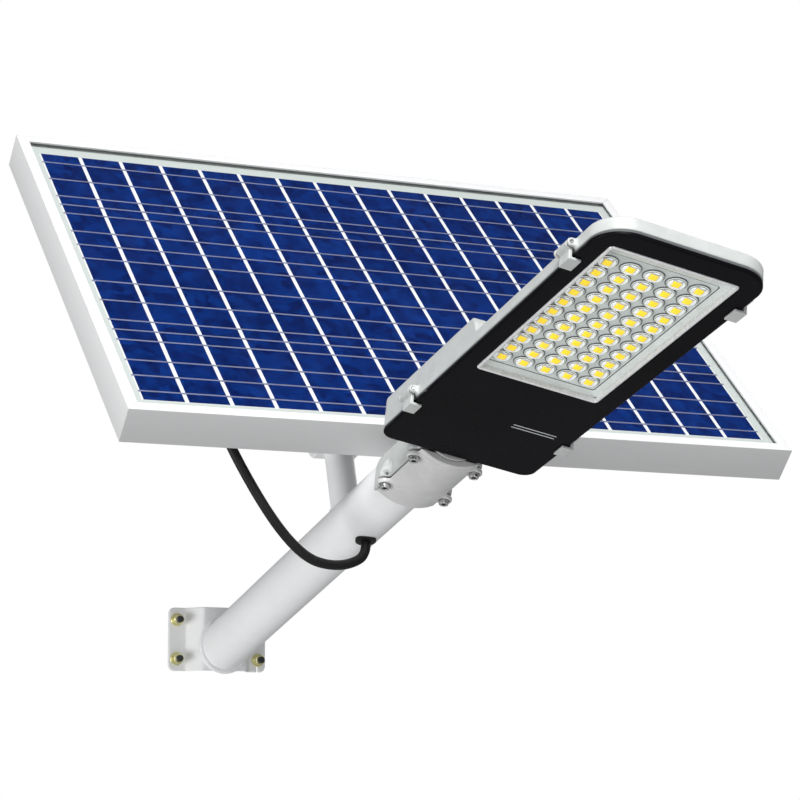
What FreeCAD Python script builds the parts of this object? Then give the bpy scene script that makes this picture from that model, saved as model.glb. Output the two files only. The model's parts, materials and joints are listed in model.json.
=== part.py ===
"""Solar street lamp: wall bracket and arm, tilting solar panel, LED head on a slip-fitter clamp.

Millimetres, +Z up. The origin is the centre of the wall bracket's back face, the wall is the
plane Y = 0 and the arm rises away from it towards -Y.
"""
import FreeCAD
import Part
import math
import os

from FreeCAD import Vector as Vec

os.makedirs("parts", exist_ok=True)

# Wall bracket and its anchors
BRACKET_W, BRACKET_H, SHEET = 107.0, 65.0, 3.0
HAT_BASE, HAT_TOP, HAT_DEPTH = 70.0, 48.0, 24.0
BEND_OUT = 4.0
BOLT_DX, BOLT_DZ = 90.0, 40.0
STUD_R, STUD_NECK, STUD_IN, STUD_OUT = 3.0, 2.9, 12.0, 16.0

# Arm
ARM_TILT, ARM_R, ARM_WALL, ARM_LEN, ARM_DROP = 16.42, 25.0, 2.5, 540.0, 6.12
HOLE_S, HOLE_TURN, HOLE_R = 363.0, 6.0, 8.0

# Strut and tilt hinge, in arm coordinates: distance along the arm and height above its axis
STRUT_S, STRUT_R, STRUT_WALL, STRUT_TOP = 323.2, 13.5, 2.0, 78.0
PIN_UP, PIN_R, CHEEK_R, CHEEK_T, CHEEK_GAP = 101.1, 4.0, 27.0, 4.0, 34.0
LOCK_R, LOCK_ARM, LOCK_TURN = 3.0, 19.0, 30.0
TILT_DOWN, TILT_UP = -16.0, 1.0

# Solar panel, in its own frame: X across, V up the slope, N out of the glass
PANEL_TILT, PANEL_W, PANEL_H, PANEL_T = 42.5, 670.0, 470.0, 35.0
PIN_V, PIN_N, PANEL_SHIFT = -117.0, -90.0, 77.2
LIP, RAIL_WALL, BACK_LIP, GLASS_T = 11.0, 2.0, 22.0, 3.2
CELL_W, CELL_H, COLUMNS, CELL_GAP, RIBBON_W = 632.0, 422.0, 15, 4.2, 1.8
RIBBON_STEPS = (1, 2, 2, 1, 1, 2, 1.5, 1.5, 2.4, 2, 2, 1, 1, 2, 1.5, 1.5)
RAIL_X, RAIL_BW, RAIL_BD, RAIL_BOLT = 70.0, 30.0, 20.0, 222.0

# Lamp head: X across, S along the face, Z up. Its face is a little flatter than the arm.
ROLL, HEAD_TILT, HEAD_DROP = 12.7, 15.0, 4.0
HEAD_S, HEAD_L, HEAD_W, NEAR_R, FAR_R = 553.0, 402.0, 142.0, 12.0, 28.0
FACE_Z, PLATE_T, GASKET_T = -11.0, 3.0, 2.0
RIM_TOP, HUMP_TOP, HUMP_END = 5.0, 30.0, 740.0
WIN_X, WIN_S, WIN_L, WIN_W, WIN_R = -1.7, 821.5, 225.0, 109.0, 4.0
LED_ALONG, LED_ACROSS, LED_DS, LED_DX, LED_S, LED_X = 11, 5, 17.4, 19.4, 816.0, -4.0
LENS_R, CHIP = 8.3, 6.6
CLIP_S, CLIP_L, CLIP_X, CLIP_Z = (619.0, 897.0), 16.0, 75.5, -1.0

# Slip-fitter clamp, in arm coordinates rolled with the head
NECK_S, NECK_R, FIT = 450.0, 28.3, 0.05
CAP_S, CAP_END, CAP_ARC, CAP_LOW = 456.5, 550.6, 48.5, -30.0
SPLIT_Z, SPLIT_GAP, SEAT_Z = -20.3, 1.8, -23.8
SCREW_X, SCREW_S, BOSS_R, EAR_R, EAR_LOW = 28.4, (476.6, 537.9), 6.5, 7.0, -25.2

CABLE_R = 4.5
GLAND_Z, GLAND_R = 9.0, 4.5

RIM_BOTTOM = FACE_Z + PLATE_T + GASKET_T
BOARD_Z = -3.5


# ---------------------------------------------------------------- helpers

def save(name, shape):
    if isinstance(shape, (list, tuple)):
        shape = Part.makeCompound(list(shape))
    shape.exportStep("parts/" + name + ".step")


def box(x0, x1, y0, y1, z0, z1):
    return Part.makeBox(x1 - x0, y1 - y0, z1 - z0, Vec(x0, y0, z0))


def sbox(x0, x1, s0, s1, z0, z1):
    """Box in arm coordinates, where S runs along -Y."""
    return box(x0, x1, -s1, -s0, z0, z1)


def rod(start, direction, radius, length):
    return Part.makeCylinder(radius, length, start, direction)


def tube(start, direction, outer, inner, length):
    return rod(start, direction, outer, length).cut(rod(start, direction, inner, length))


def prism(points, height, direction):
    """Extrude a closed polygon of vectors."""
    return Part.Face(Part.makePolygon(points + [points[0]])).extrude(direction * height)


def bent(corners, height, direction):
    """Extrude a closed outline of (point, corner radius) pairs, with the corners as arcs."""
    edges = []
    ends = []
    count = len(corners)
    for i, (corner, radius) in enumerate(corners):
        back = (corners[i - 1][0] - corner).normalize()
        ahead = (corners[(i + 1) % count][0] - corner).normalize()
        if radius == 0:
            ends.append((corner, corner))
            continue
        half = back.getAngle(ahead) / 2
        start, end = corner + back * (radius / math.tan(half)), corner + ahead * (radius / math.tan(half))
        middle = corner + (back + ahead).normalize() * (radius / math.sin(half) - radius)
        edges.append(Part.Arc(start, middle, end).toShape())
        ends.append((start, end))
    for i in range(count):
        edges.append(Part.LineSegment(ends[i - 1][1], ends[i][0]).toShape())
    return Part.Face(Part.Wire(Part.__sortEdges__(edges))).extrude(direction * height)


def rounded(x_size, y_size, radius, z0, z1, x=0.0, y=0.0):
    """Upright block with rounded corners, centred on x, y."""
    hx, hy = x_size / 2, y_size / 2
    wide = box(x - hx, x + hx, y - hy + radius, y + hy - radius, z0, z1)
    deep = box(x - hx + radius, x + hx - radius, y - hy, y + hy, z0, z1)
    body = wide.fuse(deep)
    for i in (-1, 1):
        for j in (-1, 1):
            centre = Vec(x + i * (hx - radius), y + j * (hy - radius), z0)
            body = body.fuse(rod(centre, Vec(0, 0, 1), radius, z1 - z0))
    return body.removeSplitter()


def hexagon(centre, direction, flats, height):
    """Hexagonal nut or head standing on centre along direction."""
    turn = FreeCAD.Rotation(Vec(0, 0, 1), direction)
    radius = flats / math.sqrt(3)
    points = []
    for i in range(6):
        angle = math.radians(60 * i)
        points.append(centre + turn.multVec(Vec(radius * math.cos(angle), radius * math.sin(angle), 0)))
    return prism(points, height, direction)


def turned(shape, axis, degrees, shift):
    moved = shape.copy()
    moved.rotate(Vec(0, 0, 0), axis, degrees)
    moved.translate(shift)
    return moved


def on_arm(shape):
    """From arm coordinates (Y = -S, Z above the axis) to the row frame."""
    return turned(shape, Vec(1, 0, 0), -ARM_TILT, ARM_START)


def on_clamp(shape):
    """From arm coordinates rolled with the head to the row frame."""
    return on_arm(turned(shape, Vec(0, 1, 0), ROLL, Vec(0, 0, 0)))


def on_head(shape):
    """From the lamp head's coordinates to the row frame."""
    rolled = turned(shape, Vec(0, 1, 0), ROLL, Vec(0, 0, 0))
    return turned(rolled, Vec(1, 0, 0), -HEAD_TILT, Vec(0, -HAT_DEPTH, -HEAD_DROP))


def on_panel(shape):
    """From the panel's coordinates (X, V, N) to the row frame."""
    return turned(shape, Vec(1, 0, 0), PANEL_TILT, PANEL_AT)


def arm_point(x, s, z):
    return FreeCAD.Rotation(Vec(1, 0, 0), -ARM_TILT).multVec(Vec(x, -s, z)) + ARM_START


def panel_point(x, v, n):
    return FreeCAD.Rotation(Vec(1, 0, 0), PANEL_TILT).multVec(Vec(x, v, n)) + PANEL_AT


def cord(name, points, radius):
    """Plain round cable along straight runs joined by tangent arcs."""
    edges = []
    radii = []
    last = points[0]
    for before, corner, after in zip(points, points[1:], points[2:]):
        back, ahead = before - corner, after - corner
        free = 0.9 if after is points[-1] else 0.45
        cut = min(0.45 * back.Length, free * ahead.Length)
        back.normalize()
        ahead.normalize()
        half_turn = (math.pi - back.getAngle(ahead)) / 2
        bend = cut / math.tan(half_turn)
        bisector = (back + ahead).normalize()
        middle = corner + bisector * (bend / math.cos(half_turn) - bend)
        start, end = corner + back * cut, corner + ahead * cut
        edges.append(Part.LineSegment(last, start).toShape())
        edges.append(Part.Arc(start, middle, end).toShape())
        radii.append(bend)
        last = end
    edges.append(Part.LineSegment(last, points[-1]).toShape())
    wire = Part.Wire(edges)
    circle = Part.Wire(Part.Circle(points[0], points[1] - points[0], radius).toShape())
    solid = wire.makePipeShell([circle], True, True)
    print(name, "length %.1f" % wire.Length, "volume %.0f" % solid.Volume,
          "section x length %.0f" % (math.pi * radius ** 2 * wire.Length),
          "radii", ["%.1f" % bend for bend in radii])
    return solid


ARM_START = Vec(0, -HAT_DEPTH, -ARM_DROP)
PIN_AT = arm_point(0, STRUT_S, PIN_UP)
PANEL_AT = PIN_AT - FreeCAD.Rotation(Vec(1, 0, 0), PANEL_TILT).multVec(Vec(-PANEL_SHIFT, PIN_V, PIN_N))
X, Y, Z = Vec(1, 0, 0), Vec(0, 1, 0), Vec(0, 0, 1)
print("tilt pin", PIN_AT, "panel centre", PANEL_AT)


# ---------------------------------------------------------------- wall bracket

def hat_outline(thickness):
    """Front (0) or back (SHEET) line of the bracket's hat section, as corners with bend radii."""
    hb, ht, half = HAT_BASE / 2, HAT_TOP / 2, BRACKET_W / 2
    run, rise = hb - ht, HAT_DEPTH - SHEET
    slant = thickness * math.tan(math.atan2(rise, run) / 2)
    foot, top = BEND_OUT - SHEET + thickness, BEND_OUT - thickness
    front = thickness - SHEET
    right = [(Vec(ht - slant, thickness - HAT_DEPTH, 0), top), (Vec(hb - slant, front, 0), foot),
             (Vec(half, front, 0), 0)]
    left = [(Vec(-point.x, point.y, 0), radius) for point, radius in reversed(right)]
    return left + right


def hat_block():
    """Everything behind the bracket's front surface."""
    back = [(Vec(BRACKET_W / 2, 60, 0), 0), (Vec(-BRACKET_W / 2, 60, 0), 0)]
    block = bent(hat_outline(0) + back, 200, Z)
    block.translate(Vec(0, 0, -100))
    return block


def wall_bracket():
    sheet = bent(hat_outline(0) + list(reversed(hat_outline(SHEET))), BRACKET_H, Z)
    sheet.translate(Vec(0, 0, -BRACKET_H / 2))
    outline = rounded(BRACKET_W, BRACKET_H, 6.0, -HAT_DEPTH - 1, 1)
    outline.rotate(Vec(0, 0, 0), X, 90)
    outline.translate(Vec(0, -HAT_DEPTH, 0))
    sheet = sheet.common(outline)
    for px, pz in bolt_places():
        sheet = sheet.cut(rod(Vec(px, 1, pz), -Y, STUD_R + 0.5, SHEET + 2))
    slit = box(BOLT_DX / 2 - 0.8, BOLT_DX / 2 + 0.8, -SHEET - 1, 1, -BRACKET_H, -BOLT_DZ / 2)
    return sheet.cut(slit)


def bolt_places():
    return [(i * BOLT_DX / 2, j * BOLT_DZ / 2) for i in (-1, 1) for j in (-1, 1)]


def anchors():
    studs, washers, nuts = [], [], []
    for px, pz in bolt_places():
        stud = rod(Vec(px, STUD_IN, pz), -Y, STUD_R, STUD_IN)
        stud = stud.fuse(rod(Vec(px, 0, pz), -Y, STUD_NECK, STUD_OUT - 1))
        tip = Part.makeCone(STUD_NECK, STUD_NECK - 1, 1, Vec(px, 1 - STUD_OUT, pz), -Y)
        studs.append(stud.fuse(tip))
        washers.append(tube(Vec(px, -SHEET, pz), -Y, 6.4, STUD_NECK, 1.5))
        nut = hexagon(Vec(px, -SHEET - 1.5, pz), -Y, 10.0, 5.0)
        nuts.append(nut.cut(rod(Vec(px, 0, pz), -Y, STUD_NECK, 20)))
    save("anchor_studs", studs)
    save("anchor_washers", washers)
    save("anchor_nuts", nuts)


# ---------------------------------------------------------------- arm and strut

def hole_direction():
    """Unit vector from the arm's axis out through the cable hole, in arm coordinates."""
    angle = math.radians(HOLE_TURN)
    return Vec(-math.sin(angle), 0, -math.cos(angle))


def arm():
    overlap = 12.0
    whole = rod(Vec(0, overlap, 0), -Y, ARM_R, ARM_LEN + overlap)
    whole = whole.cut(rod(Vec(0, overlap, 0), -Y, ARM_R - ARM_WALL, ARM_LEN + overlap))
    out = hole_direction()
    whole = whole.cut(rod(Vec(0, -HOLE_S, 0), out, HOLE_R, ARM_R + 5))
    whole = on_arm(whole).cut(box(-60, 60, 3 - HAT_DEPTH, 60, -80, 80))
    return whole.cut(hat_block())


def arm_weld():
    """Fillet bead around the arm where it meets the bracket."""
    cone = Part.makeCone(ARM_R + 3.5, ARM_R, 14, Vec(0, 8, 0), -Y)
    bead = on_arm(cone.cut(rod(Vec(0, 10, 0), -Y, ARM_R, 30)))
    keep = box(-60, 60, -HAT_DEPTH - 4, 3 - HAT_DEPTH, -80, 80)
    return bead.common(keep).cut(hat_block())


def grommet():
    out = hole_direction()
    centre = Vec(0, -HOLE_S, 0)
    flange = rod(centre + out * 18, out, HOLE_R + 1.6, ARM_R + 1.4 - 18)
    flange = flange.cut(rod(Vec(0, 0, 0), -Y, ARM_R, ARM_LEN))
    plug = rod(centre + out * 20.5, out, HOLE_R, ARM_R + 2 - 20.5)
    return on_arm(flange.fuse(plug).removeSplitter())


def strut():
    whole = tube(Vec(0, -STRUT_S, 0), Z, STRUT_R, STRUT_R - STRUT_WALL, STRUT_TOP)
    return on_arm(whole.cut(rod(Vec(0, 0, 0), -Y, ARM_R, ARM_LEN)))


def strut_weld():
    cone = Part.makeCone(STRUT_R + 6, STRUT_R, 10, Vec(0, -STRUT_S, ARM_R - 5), Z)
    cone = cone.cut(rod(Vec(0, -STRUT_S, 0), Z, STRUT_R, STRUT_TOP))
    return on_arm(cone.cut(rod(Vec(0, 0, 0), -Y, ARM_R, ARM_LEN)))


def lock_point(extra):
    """Lock bolt centre in arm coordinates with the panel turned by extra degrees from rest."""
    angle = math.radians(ARM_TILT + PANEL_TILT + LOCK_TURN + extra)
    return Vec(0, -STRUT_S + LOCK_ARM * math.cos(angle), PIN_UP + LOCK_ARM * math.sin(angle))


def strut_head():
    """Fork on top of the strut: base plate and two cheeks with a pin hole and an arc slot."""
    base = sbox(-CHEEK_GAP / 2 - CHEEK_T, CHEEK_GAP / 2 + CHEEK_T, STRUT_S - 15, STRUT_S + 15,
                STRUT_TOP, STRUT_TOP + 4)
    pin = Vec(-40, -STRUT_S, PIN_UP)
    cheek = rod(pin, X, CHEEK_R, 80)
    foot = sbox(-40, 40, STRUT_S - 15, STRUT_S + 15, STRUT_TOP, PIN_UP)
    cheek = cheek.fuse(foot).common(sbox(-40, 40, 0, 600, STRUT_TOP, 300))
    cheek = cheek.cut(rod(pin, X, PIN_R, 80))
    half_slot = LOCK_R + 0.5
    ring = rod(pin, X, LOCK_ARM + half_slot, 80).cut(rod(pin, X, LOCK_ARM - half_slot, 80))
    start, end = TILT_DOWN - 2, TILT_UP + 2
    wedge = [pin]
    for step in range(7):
        spot = lock_point(start + (end - start) * step / 6.0)
        wedge.append(pin + (Vec(-40, spot.y, spot.z) - pin) * 3)
    slot = ring.common(prism(wedge, 80, X))
    for angle in (start, end):
        spot = lock_point(angle)
        slot = slot.fuse(rod(Vec(-40, spot.y, spot.z), X, half_slot, 80))
    cheek = cheek.cut(slot)
    gap = sbox(-CHEEK_GAP / 2, CHEEK_GAP / 2, 0, 600, STRUT_TOP, 300)
    outside = CHEEK_GAP / 2 + CHEEK_T
    cheek = cheek.cut(gap).common(sbox(-outside, outside, 0, 600, STRUT_TOP, 300))
    return on_arm(base.fuse(cheek).removeSplitter())


def tilt_bolt():
    """M8 bolt through the fork and the panel's ears, its nut on the left."""
    outside = CHEEK_GAP / 2 + CHEEK_T
    shank = rod(Vec(-outside - 9, -STRUT_S, PIN_UP), X, PIN_R, 2 * outside + 9)
    head = hexagon(Vec(outside + 1.6, -STRUT_S, PIN_UP), X, 13.0, 5.3)
    washer = rod(Vec(outside, -STRUT_S, PIN_UP), X, 8.0, 1.6)
    nut = hexagon(Vec(-outside - 1.6, -STRUT_S, PIN_UP), -X, 13.0, 6.5)
    nut_washer = rod(Vec(-outside, -STRUT_S, PIN_UP), -X, 8.0, 1.6)
    drilled = nut.fuse(nut_washer).cut(rod(Vec(-60, -STRUT_S, PIN_UP), X, PIN_R, 120))
    save("tilt_bolt", on_arm(shank.fuse(washer).fuse(head).removeSplitter()))
    save("tilt_nut", on_arm(drilled.removeSplitter()))


def lock_bolt():
    """M6 bolt that moves with the panel's ears in the fork's arc slots."""
    outside = CHEEK_GAP / 2 + CHEEK_T + 0.4
    spot = lock_point(0)
    left, right = Vec(-outside, spot.y, spot.z), Vec(outside, spot.y, spot.z)
    shank = rod(Vec(-outside - 7, spot.y, spot.z), X, LOCK_R, 2 * outside + 7)
    head = rod(right, X, 5.8, 1.2).fuse(hexagon(right + X * 1.2, X, 10.0, 4.0))
    nut = rod(left, -X, 5.8, 1.2).fuse(hexagon(left - X * 1.2, -X, 10.0, 5.0))
    nut = nut.cut(rod(Vec(-60, spot.y, spot.z), X, LOCK_R, 120))
    save("lock_bolt", on_arm(shank.fuse(head).removeSplitter()))
    save("lock_nut", on_arm(nut.removeSplitter()))


# ---------------------------------------------------------------- solar panel

def rail(length):
    """Frame rail along X with its outer face at V = 0, mitred at both ends."""
    slot = RAIL_WALL + GLASS_T + 1.5
    section = box(-length / 2, length / 2, 0, RAIL_WALL, -PANEL_T, 0)
    section = section.fuse(box(-length / 2, length / 2, 0, LIP, -RAIL_WALL, 0))
    section = section.fuse(box(-length / 2, length / 2, 0, LIP, -slot - 1.6, -slot))
    section = section.fuse(box(-length / 2, length / 2, 0, BACK_LIP, -PANEL_T, RAIL_WALL - PANEL_T))
    half = length / 2
    mitre = [Vec(-half, 0, -PANEL_T), Vec(half, 0, -PANEL_T), Vec(half - 40, 40, -PANEL_T),
             Vec(40 - half, 40, -PANEL_T)]
    return section.common(prism(mitre, PANEL_T, Z)).removeSplitter()


def frame_rails():
    hw, hh = PANEL_W / 2, PANEL_H / 2
    sides = (("bottom", PANEL_W, 0, Vec(0, -hh, 0)), ("right", PANEL_H, 90, Vec(hw, 0, 0)),
             ("top", PANEL_W, 180, Vec(0, hh, 0)), ("left", PANEL_H, 270, Vec(-hw, 0, 0)))
    for side, length, angle, shift in sides:
        piece = turned(rail(length), Z, angle, shift)
        for px in (-PANEL_SHIFT - RAIL_X, -PANEL_SHIFT + RAIL_X):
            for pv in (-1, 1):
                hole = rod(Vec(px, pv * RAIL_BOLT, -PANEL_T - 1), Z, 3.2, 4)
                piece = piece.cut(hole)
        save("frame_rail_" + side, on_panel(piece))


def laminate():
    """Glass, cells with their ribbons, and the backsheet, stacked in the rails' slot."""
    w, h = PANEL_W - 2 * RAIL_WALL - 1, PANEL_H - 2 * RAIL_WALL - 1
    top = -RAIL_WALL
    glass = box(-w / 2, w / 2, -h / 2, h / 2, top - GLASS_T, top)
    ribbon_z = top - GLASS_T - 0.2
    cell_z = ribbon_z - 0.4
    back_z = top - GLASS_T - 1.5
    pitch = CELL_W / COLUMNS
    cells = []
    for i in range(COLUMNS):
        left = -CELL_W / 2 + i * pitch + CELL_GAP / 2
        cells.append(box(left, left + pitch - CELL_GAP, -CELL_H / 2, CELL_H / 2, cell_z, ribbon_z))
    ribbons = []
    travelled = 0.0
    for step in RIBBON_STEPS:
        travelled += step
        v = CELL_H / 2 - CELL_H * travelled / (sum(RIBBON_STEPS) + 0.8)
        ribbons.append(box(-CELL_W / 2, CELL_W / 2, v - RIBBON_W / 2, v + RIBBON_W / 2, ribbon_z, top - GLASS_T))
    save("panel_glass", on_panel(glass))
    save("cell_strings", [on_panel(piece) for piece in cells])
    save("cell_ribbons", [on_panel(piece) for piece in ribbons])
    save("panel_backsheet", on_panel(box(-w / 2, w / 2, -h / 2, h / 2, back_z, cell_z)))


def corner_keys():
    """Angle pieces inside the frame's four corners, under the back flange."""
    hw, hh = PANEL_W / 2 - RAIL_WALL, PANEL_H / 2 - RAIL_WALL
    keys = []
    for i in (-1, 1):
        for j in (-1, 1):
            leg_x = box(min(i * (hw - 40), i * hw), max(i * (hw - 40), i * hw),
                        min(j * (hh - 9), j * hh), max(j * (hh - 9), j * hh), -31, -12)
            leg_v = box(min(i * (hw - 9), i * hw), max(i * (hw - 9), i * hw),
                        min(j * (hh - 40), j * hh), max(j * (hh - 40), j * hh), -31, -12)
            keys.append(on_panel(leg_x.fuse(leg_v).removeSplitter()))
    save("frame_corner_keys", keys)


def back_rails():
    """Two galvanised channels inside the frame, their webs flat on its back flange."""
    low, end = RAIL_WALL - PANEL_T, PANEL_H / 2 - RAIL_WALL - 0.5
    for side, px in (("left", -PANEL_SHIFT - RAIL_X), ("right", -PANEL_SHIFT + RAIL_X)):
        x0, x1 = px - RAIL_BW / 2, px + RAIL_BW / 2
        channel = box(x0, x1, -end, end, low, low + RAIL_BD)
        channel = channel.cut(box(x0 + 2, x1 - 2, -end, end, low + 2, low + RAIL_BD))
        for pv in (-RAIL_BOLT, RAIL_BOLT):
            channel = channel.cut(rod(Vec(px, pv, low - 1), Z, 3.2, 4))
        for pv in (PIN_V - 25, PIN_V + 25):
            channel = channel.cut(rod(Vec(px, pv, low - 1), Z, 4.2, 4))
        save("back_rail_" + side, on_panel(channel))


def rail_bolts():
    """M6 bolts that hold the back rails to the frame, and M8 bolts for the hinge plate."""
    small, large = [], []
    low = RAIL_WALL - PANEL_T
    for px in (-PANEL_SHIFT - RAIL_X, -PANEL_SHIFT + RAIL_X):
        for pv in (-RAIL_BOLT, RAIL_BOLT):
            base = Vec(px, pv, -PANEL_T)
            bolt = rod(base, Z, 3.0, RAIL_WALL + 2 + 8)
            bolt = bolt.fuse(rod(base, -Z, 6.0, 1.2)).fuse(hexagon(base - Z * 1.2, -Z, 10.0, 3.0))
            bolt = bolt.fuse(hexagon(Vec(px, pv, low + 2), Z, 10.0, 4.5))
            small.append(on_panel(bolt.removeSplitter()))
        for pv in (PIN_V - 25, PIN_V + 25):
            base = Vec(px, pv, low - 4)
            bolt = rod(base, Z, 4.0, 4 + 2 + 8).fuse(rod(base, -Z, 7.5, 1.5))
            bolt = bolt.fuse(hexagon(base - Z * 1.5, -Z, 13.0, 5.0))
            bolt = bolt.fuse(hexagon(Vec(px, pv, low + 2), Z, 13.0, 6.0))
            large.append(on_panel(bolt.removeSplitter()))
    save("rail_bolts", small)
    save("hinge_plate_bolts", large)


def hinge_plate():
    """Plate across the back rails with two ears that carry the tilt pin."""
    top = RAIL_WALL - PANEL_T
    centre_x = -PANEL_SHIFT
    plate = rounded(2 * RAIL_X + 36, 80, 8, top - 4, top, centre_x, PIN_V)
    for px in (centre_x - RAIL_X, centre_x + RAIL_X):
        for pv in (PIN_V - 25, PIN_V + 25):
            plate = plate.cut(rod(Vec(px, pv, top - 6), Z, 4.0, 8))
    outer = CHEEK_GAP / 2 - 0.5
    x0 = centre_x - outer
    angle = math.radians(LOCK_TURN)
    lock = Vec(x0, PIN_V + LOCK_ARM * math.cos(angle), PIN_N + LOCK_ARM * math.sin(angle))
    pin = Vec(x0, PIN_V, PIN_N)
    outline = [Vec(x0, PIN_V - 26, top - 4), Vec(x0, PIN_V + 32, top - 4), Vec(x0, lock.y + 9, lock.z),
               Vec(x0, PIN_V + 6, PIN_N - 10.4), Vec(x0, PIN_V - 10.4, PIN_N - 6)]
    ear = prism(outline, 2 * outer, X).fuse(rod(pin, X, 12.0, 2 * outer))
    ear = ear.fuse(rod(lock, X, 9.0, 2 * outer))
    ear = ear.cut(rod(pin, X, PIN_R + FIT, 2 * outer)).cut(rod(lock, X, LOCK_R, 2 * outer))
    inner = outer - 4
    ear = ear.cut(box(centre_x - inner, centre_x + inner, PIN_V - 60, PIN_V + 60, PIN_N - 30, top - 4))
    return on_panel(plate.fuse(ear).removeSplitter())


JUNCTION_X, JUNCTION_V = -224.2, -45.0


def junction_box():
    """Junction box on the backsheet: tub, lid with four screws' bosses, cable gland."""
    back = -RAIL_WALL - GLASS_T - 1.5
    depth = 26.0
    tub = rounded(92, 78, 6, back - depth, back, JUNCTION_X, JUNCTION_V)
    hollow = rounded(86, 72, 4, back - depth, back - 2.5, JUNCTION_X, JUNCTION_V)
    lid = rounded(96, 82, 8, back - depth - 4, back - depth, JUNCTION_X, JUNCTION_V)
    ridge = rounded(70, 56, 5, back - depth - 5.5, back - depth - 4, JUNCTION_X, JUNCTION_V)
    gland_n = -22.0
    wall_v = JUNCTION_V - 39
    start = Vec(JUNCTION_X, wall_v + 3, gland_n)
    gland = rod(start, -Y, 7.0, 8).fuse(hexagon(Vec(JUNCTION_X, wall_v, gland_n), -Y, 19.0, 8))
    dome = Part.makeCone(8.5, 6.5, 14, Vec(JUNCTION_X, wall_v - 8, gland_n), -Y)
    tub = tub.cut(hollow).cut(rod(start + Y, -Y, 7.0, 8))
    save("junction_box", on_panel(tub))
    save("junction_lid", on_panel(lid.fuse(ridge).removeSplitter()))
    save("junction_gland", on_panel(gland.fuse(dome).removeSplitter()))
    return Vec(JUNCTION_X, wall_v - 22, gland_n)


# ---------------------------------------------------------------- lamp head

def head_block(inset, z0, z1):
    """Block with the head's plan, set in from its outline by inset."""
    half, near, far = HEAD_W / 2 - inset, -HEAD_S - inset, inset - HEAD_S - HEAD_L
    corners = [(Vec(-half, near, z0), NEAR_R - inset), (Vec(half, near, z0), NEAR_R - inset),
               (Vec(half, far, z0), FAR_R - inset), (Vec(-half, far, z0), FAR_R - inset)]
    return bent(corners, z1 - z0, Z)


def side_profile(points, half_width):
    """Extrude a side view given as (s, z) pairs across the head."""
    return prism([Vec(-half_width, -s, z) for s, z in points], 2 * half_width, X)


def hump_shape(top, inset):
    """Gear-box hump: rounded shoulders across, sloping nose along."""
    half = HEAD_W / 2 - inset
    shoulder = 15.0
    section = box(-half, half, -HUMP_END, -HEAD_S + 10, RIM_BOTTOM, top - shoulder)
    section = section.fuse(box(shoulder - half, half - shoulder, -HUMP_END, -HEAD_S + 10, RIM_BOTTOM, top))
    for i in (-1, 1):
        centre = Vec(i * (half - shoulder), -HUMP_END, top - shoulder)
        section = section.fuse(rod(centre, Y, shoulder, HUMP_END - HEAD_S + 10))
    nose = [(HEAD_S + inset, RIM_BOTTOM), (HEAD_S + inset, top - 12), (HEAD_S + 5 + inset, top - 4),
            (HEAD_S + 14 + inset, top), (HUMP_END - 32 - inset, top), (HUMP_END - 16 - inset, top - 6),
            (HUMP_END - 5 - inset, top - 16), (HUMP_END - inset, RIM_TOP - 6), (HUMP_END - inset, RIM_BOTTOM)]
    return section.common(side_profile(nose, 80))


def fins():
    """Heat sink over the LED board."""
    pieces = None
    low, s0, s1 = RIM_TOP - 1, HUMP_END + 6, HEAD_S + HEAD_L - 14
    outline = [(s0, low), (s0 + 8, RIM_TOP + 15), (s1 - 40, RIM_TOP + 11), (s1, low)]
    ridge = side_profile(outline, 80)
    count = 11
    for i in range(count):
        x = (i - (count - 1) / 2) * 11.2
        fin = ridge.common(sbox(x - 1.4, x + 1.4, s0, s1, low, 60))
        pieces = fin if pieces is None else pieces.fuse(fin)
    return pieces


def neck():
    """Upper half of the slip-fitter clamp, cast in one with the housing, and the space to cut."""
    low = SPLIT_Z + SPLIT_GAP / 2
    shell = rod(Vec(0, -NECK_S, 0), -Y, NECK_R, HEAD_S + 20 - NECK_S)
    roof = [(NECK_S, 0), (NECK_S, 40), (HEAD_S + 4, 40), (HEAD_S + 30, 17), (HEAD_S + 30, 0)]
    shell = shell.common(side_profile(roof, 60))
    shell = shell.fuse(sbox(-NECK_R, NECK_R, NECK_S, HEAD_S - 0.5, low, 0))
    shell = shell.fuse(sbox(-NECK_R, NECK_R, HEAD_S - 2, HEAD_S + 6, -14, 2))
    for i in (-1, 1):
        for s in SCREW_S:
            shell = shell.fuse(rod(Vec(i * SCREW_X, -s, low), Z, BOSS_R, 7))
            shell = shell.fuse(Part.makeCone(BOSS_R, 1.5, 11, Vec(i * SCREW_X, -s, low + 7), Z))
        web = [(SCREW_S[0] + 1.5, low + 1.6), (SCREW_S[0] + 13, low + 1.6), (SCREW_S[0] + 11, low + 15.5)]
        span = sorted((i * 26.6, i * 40))
        shell = shell.cut(side_profile(web, 60).common(sbox(span[0], span[1], 400, 600, -40, 40)))
    bore = rod(Vec(0, 0, 0), -Y, ARM_R + FIT, ARM_LEN + 1)
    bore = bore.fuse(sbox(-ARM_R - FIT, ARM_R + FIT, 400, HEAD_S - 0.4, -60, 0).cut(
        sbox(-60, 60, ARM_LEN + 1, 600, -12, 0)))
    throat = rod(Vec(0, 0, 0), -Y, 19.0, HEAD_S + 1).common(sbox(-30, 30, 0, 600, -7.5, 30))
    bore = bore.fuse(throat)
    for i in (-1, 1):
        for s in SCREW_S:
            bore = bore.fuse(rod(Vec(i * SCREW_X, -s, low - 1), Z, 2.5, 14))
    return on_clamp(shell), on_clamp(bore)


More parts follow.
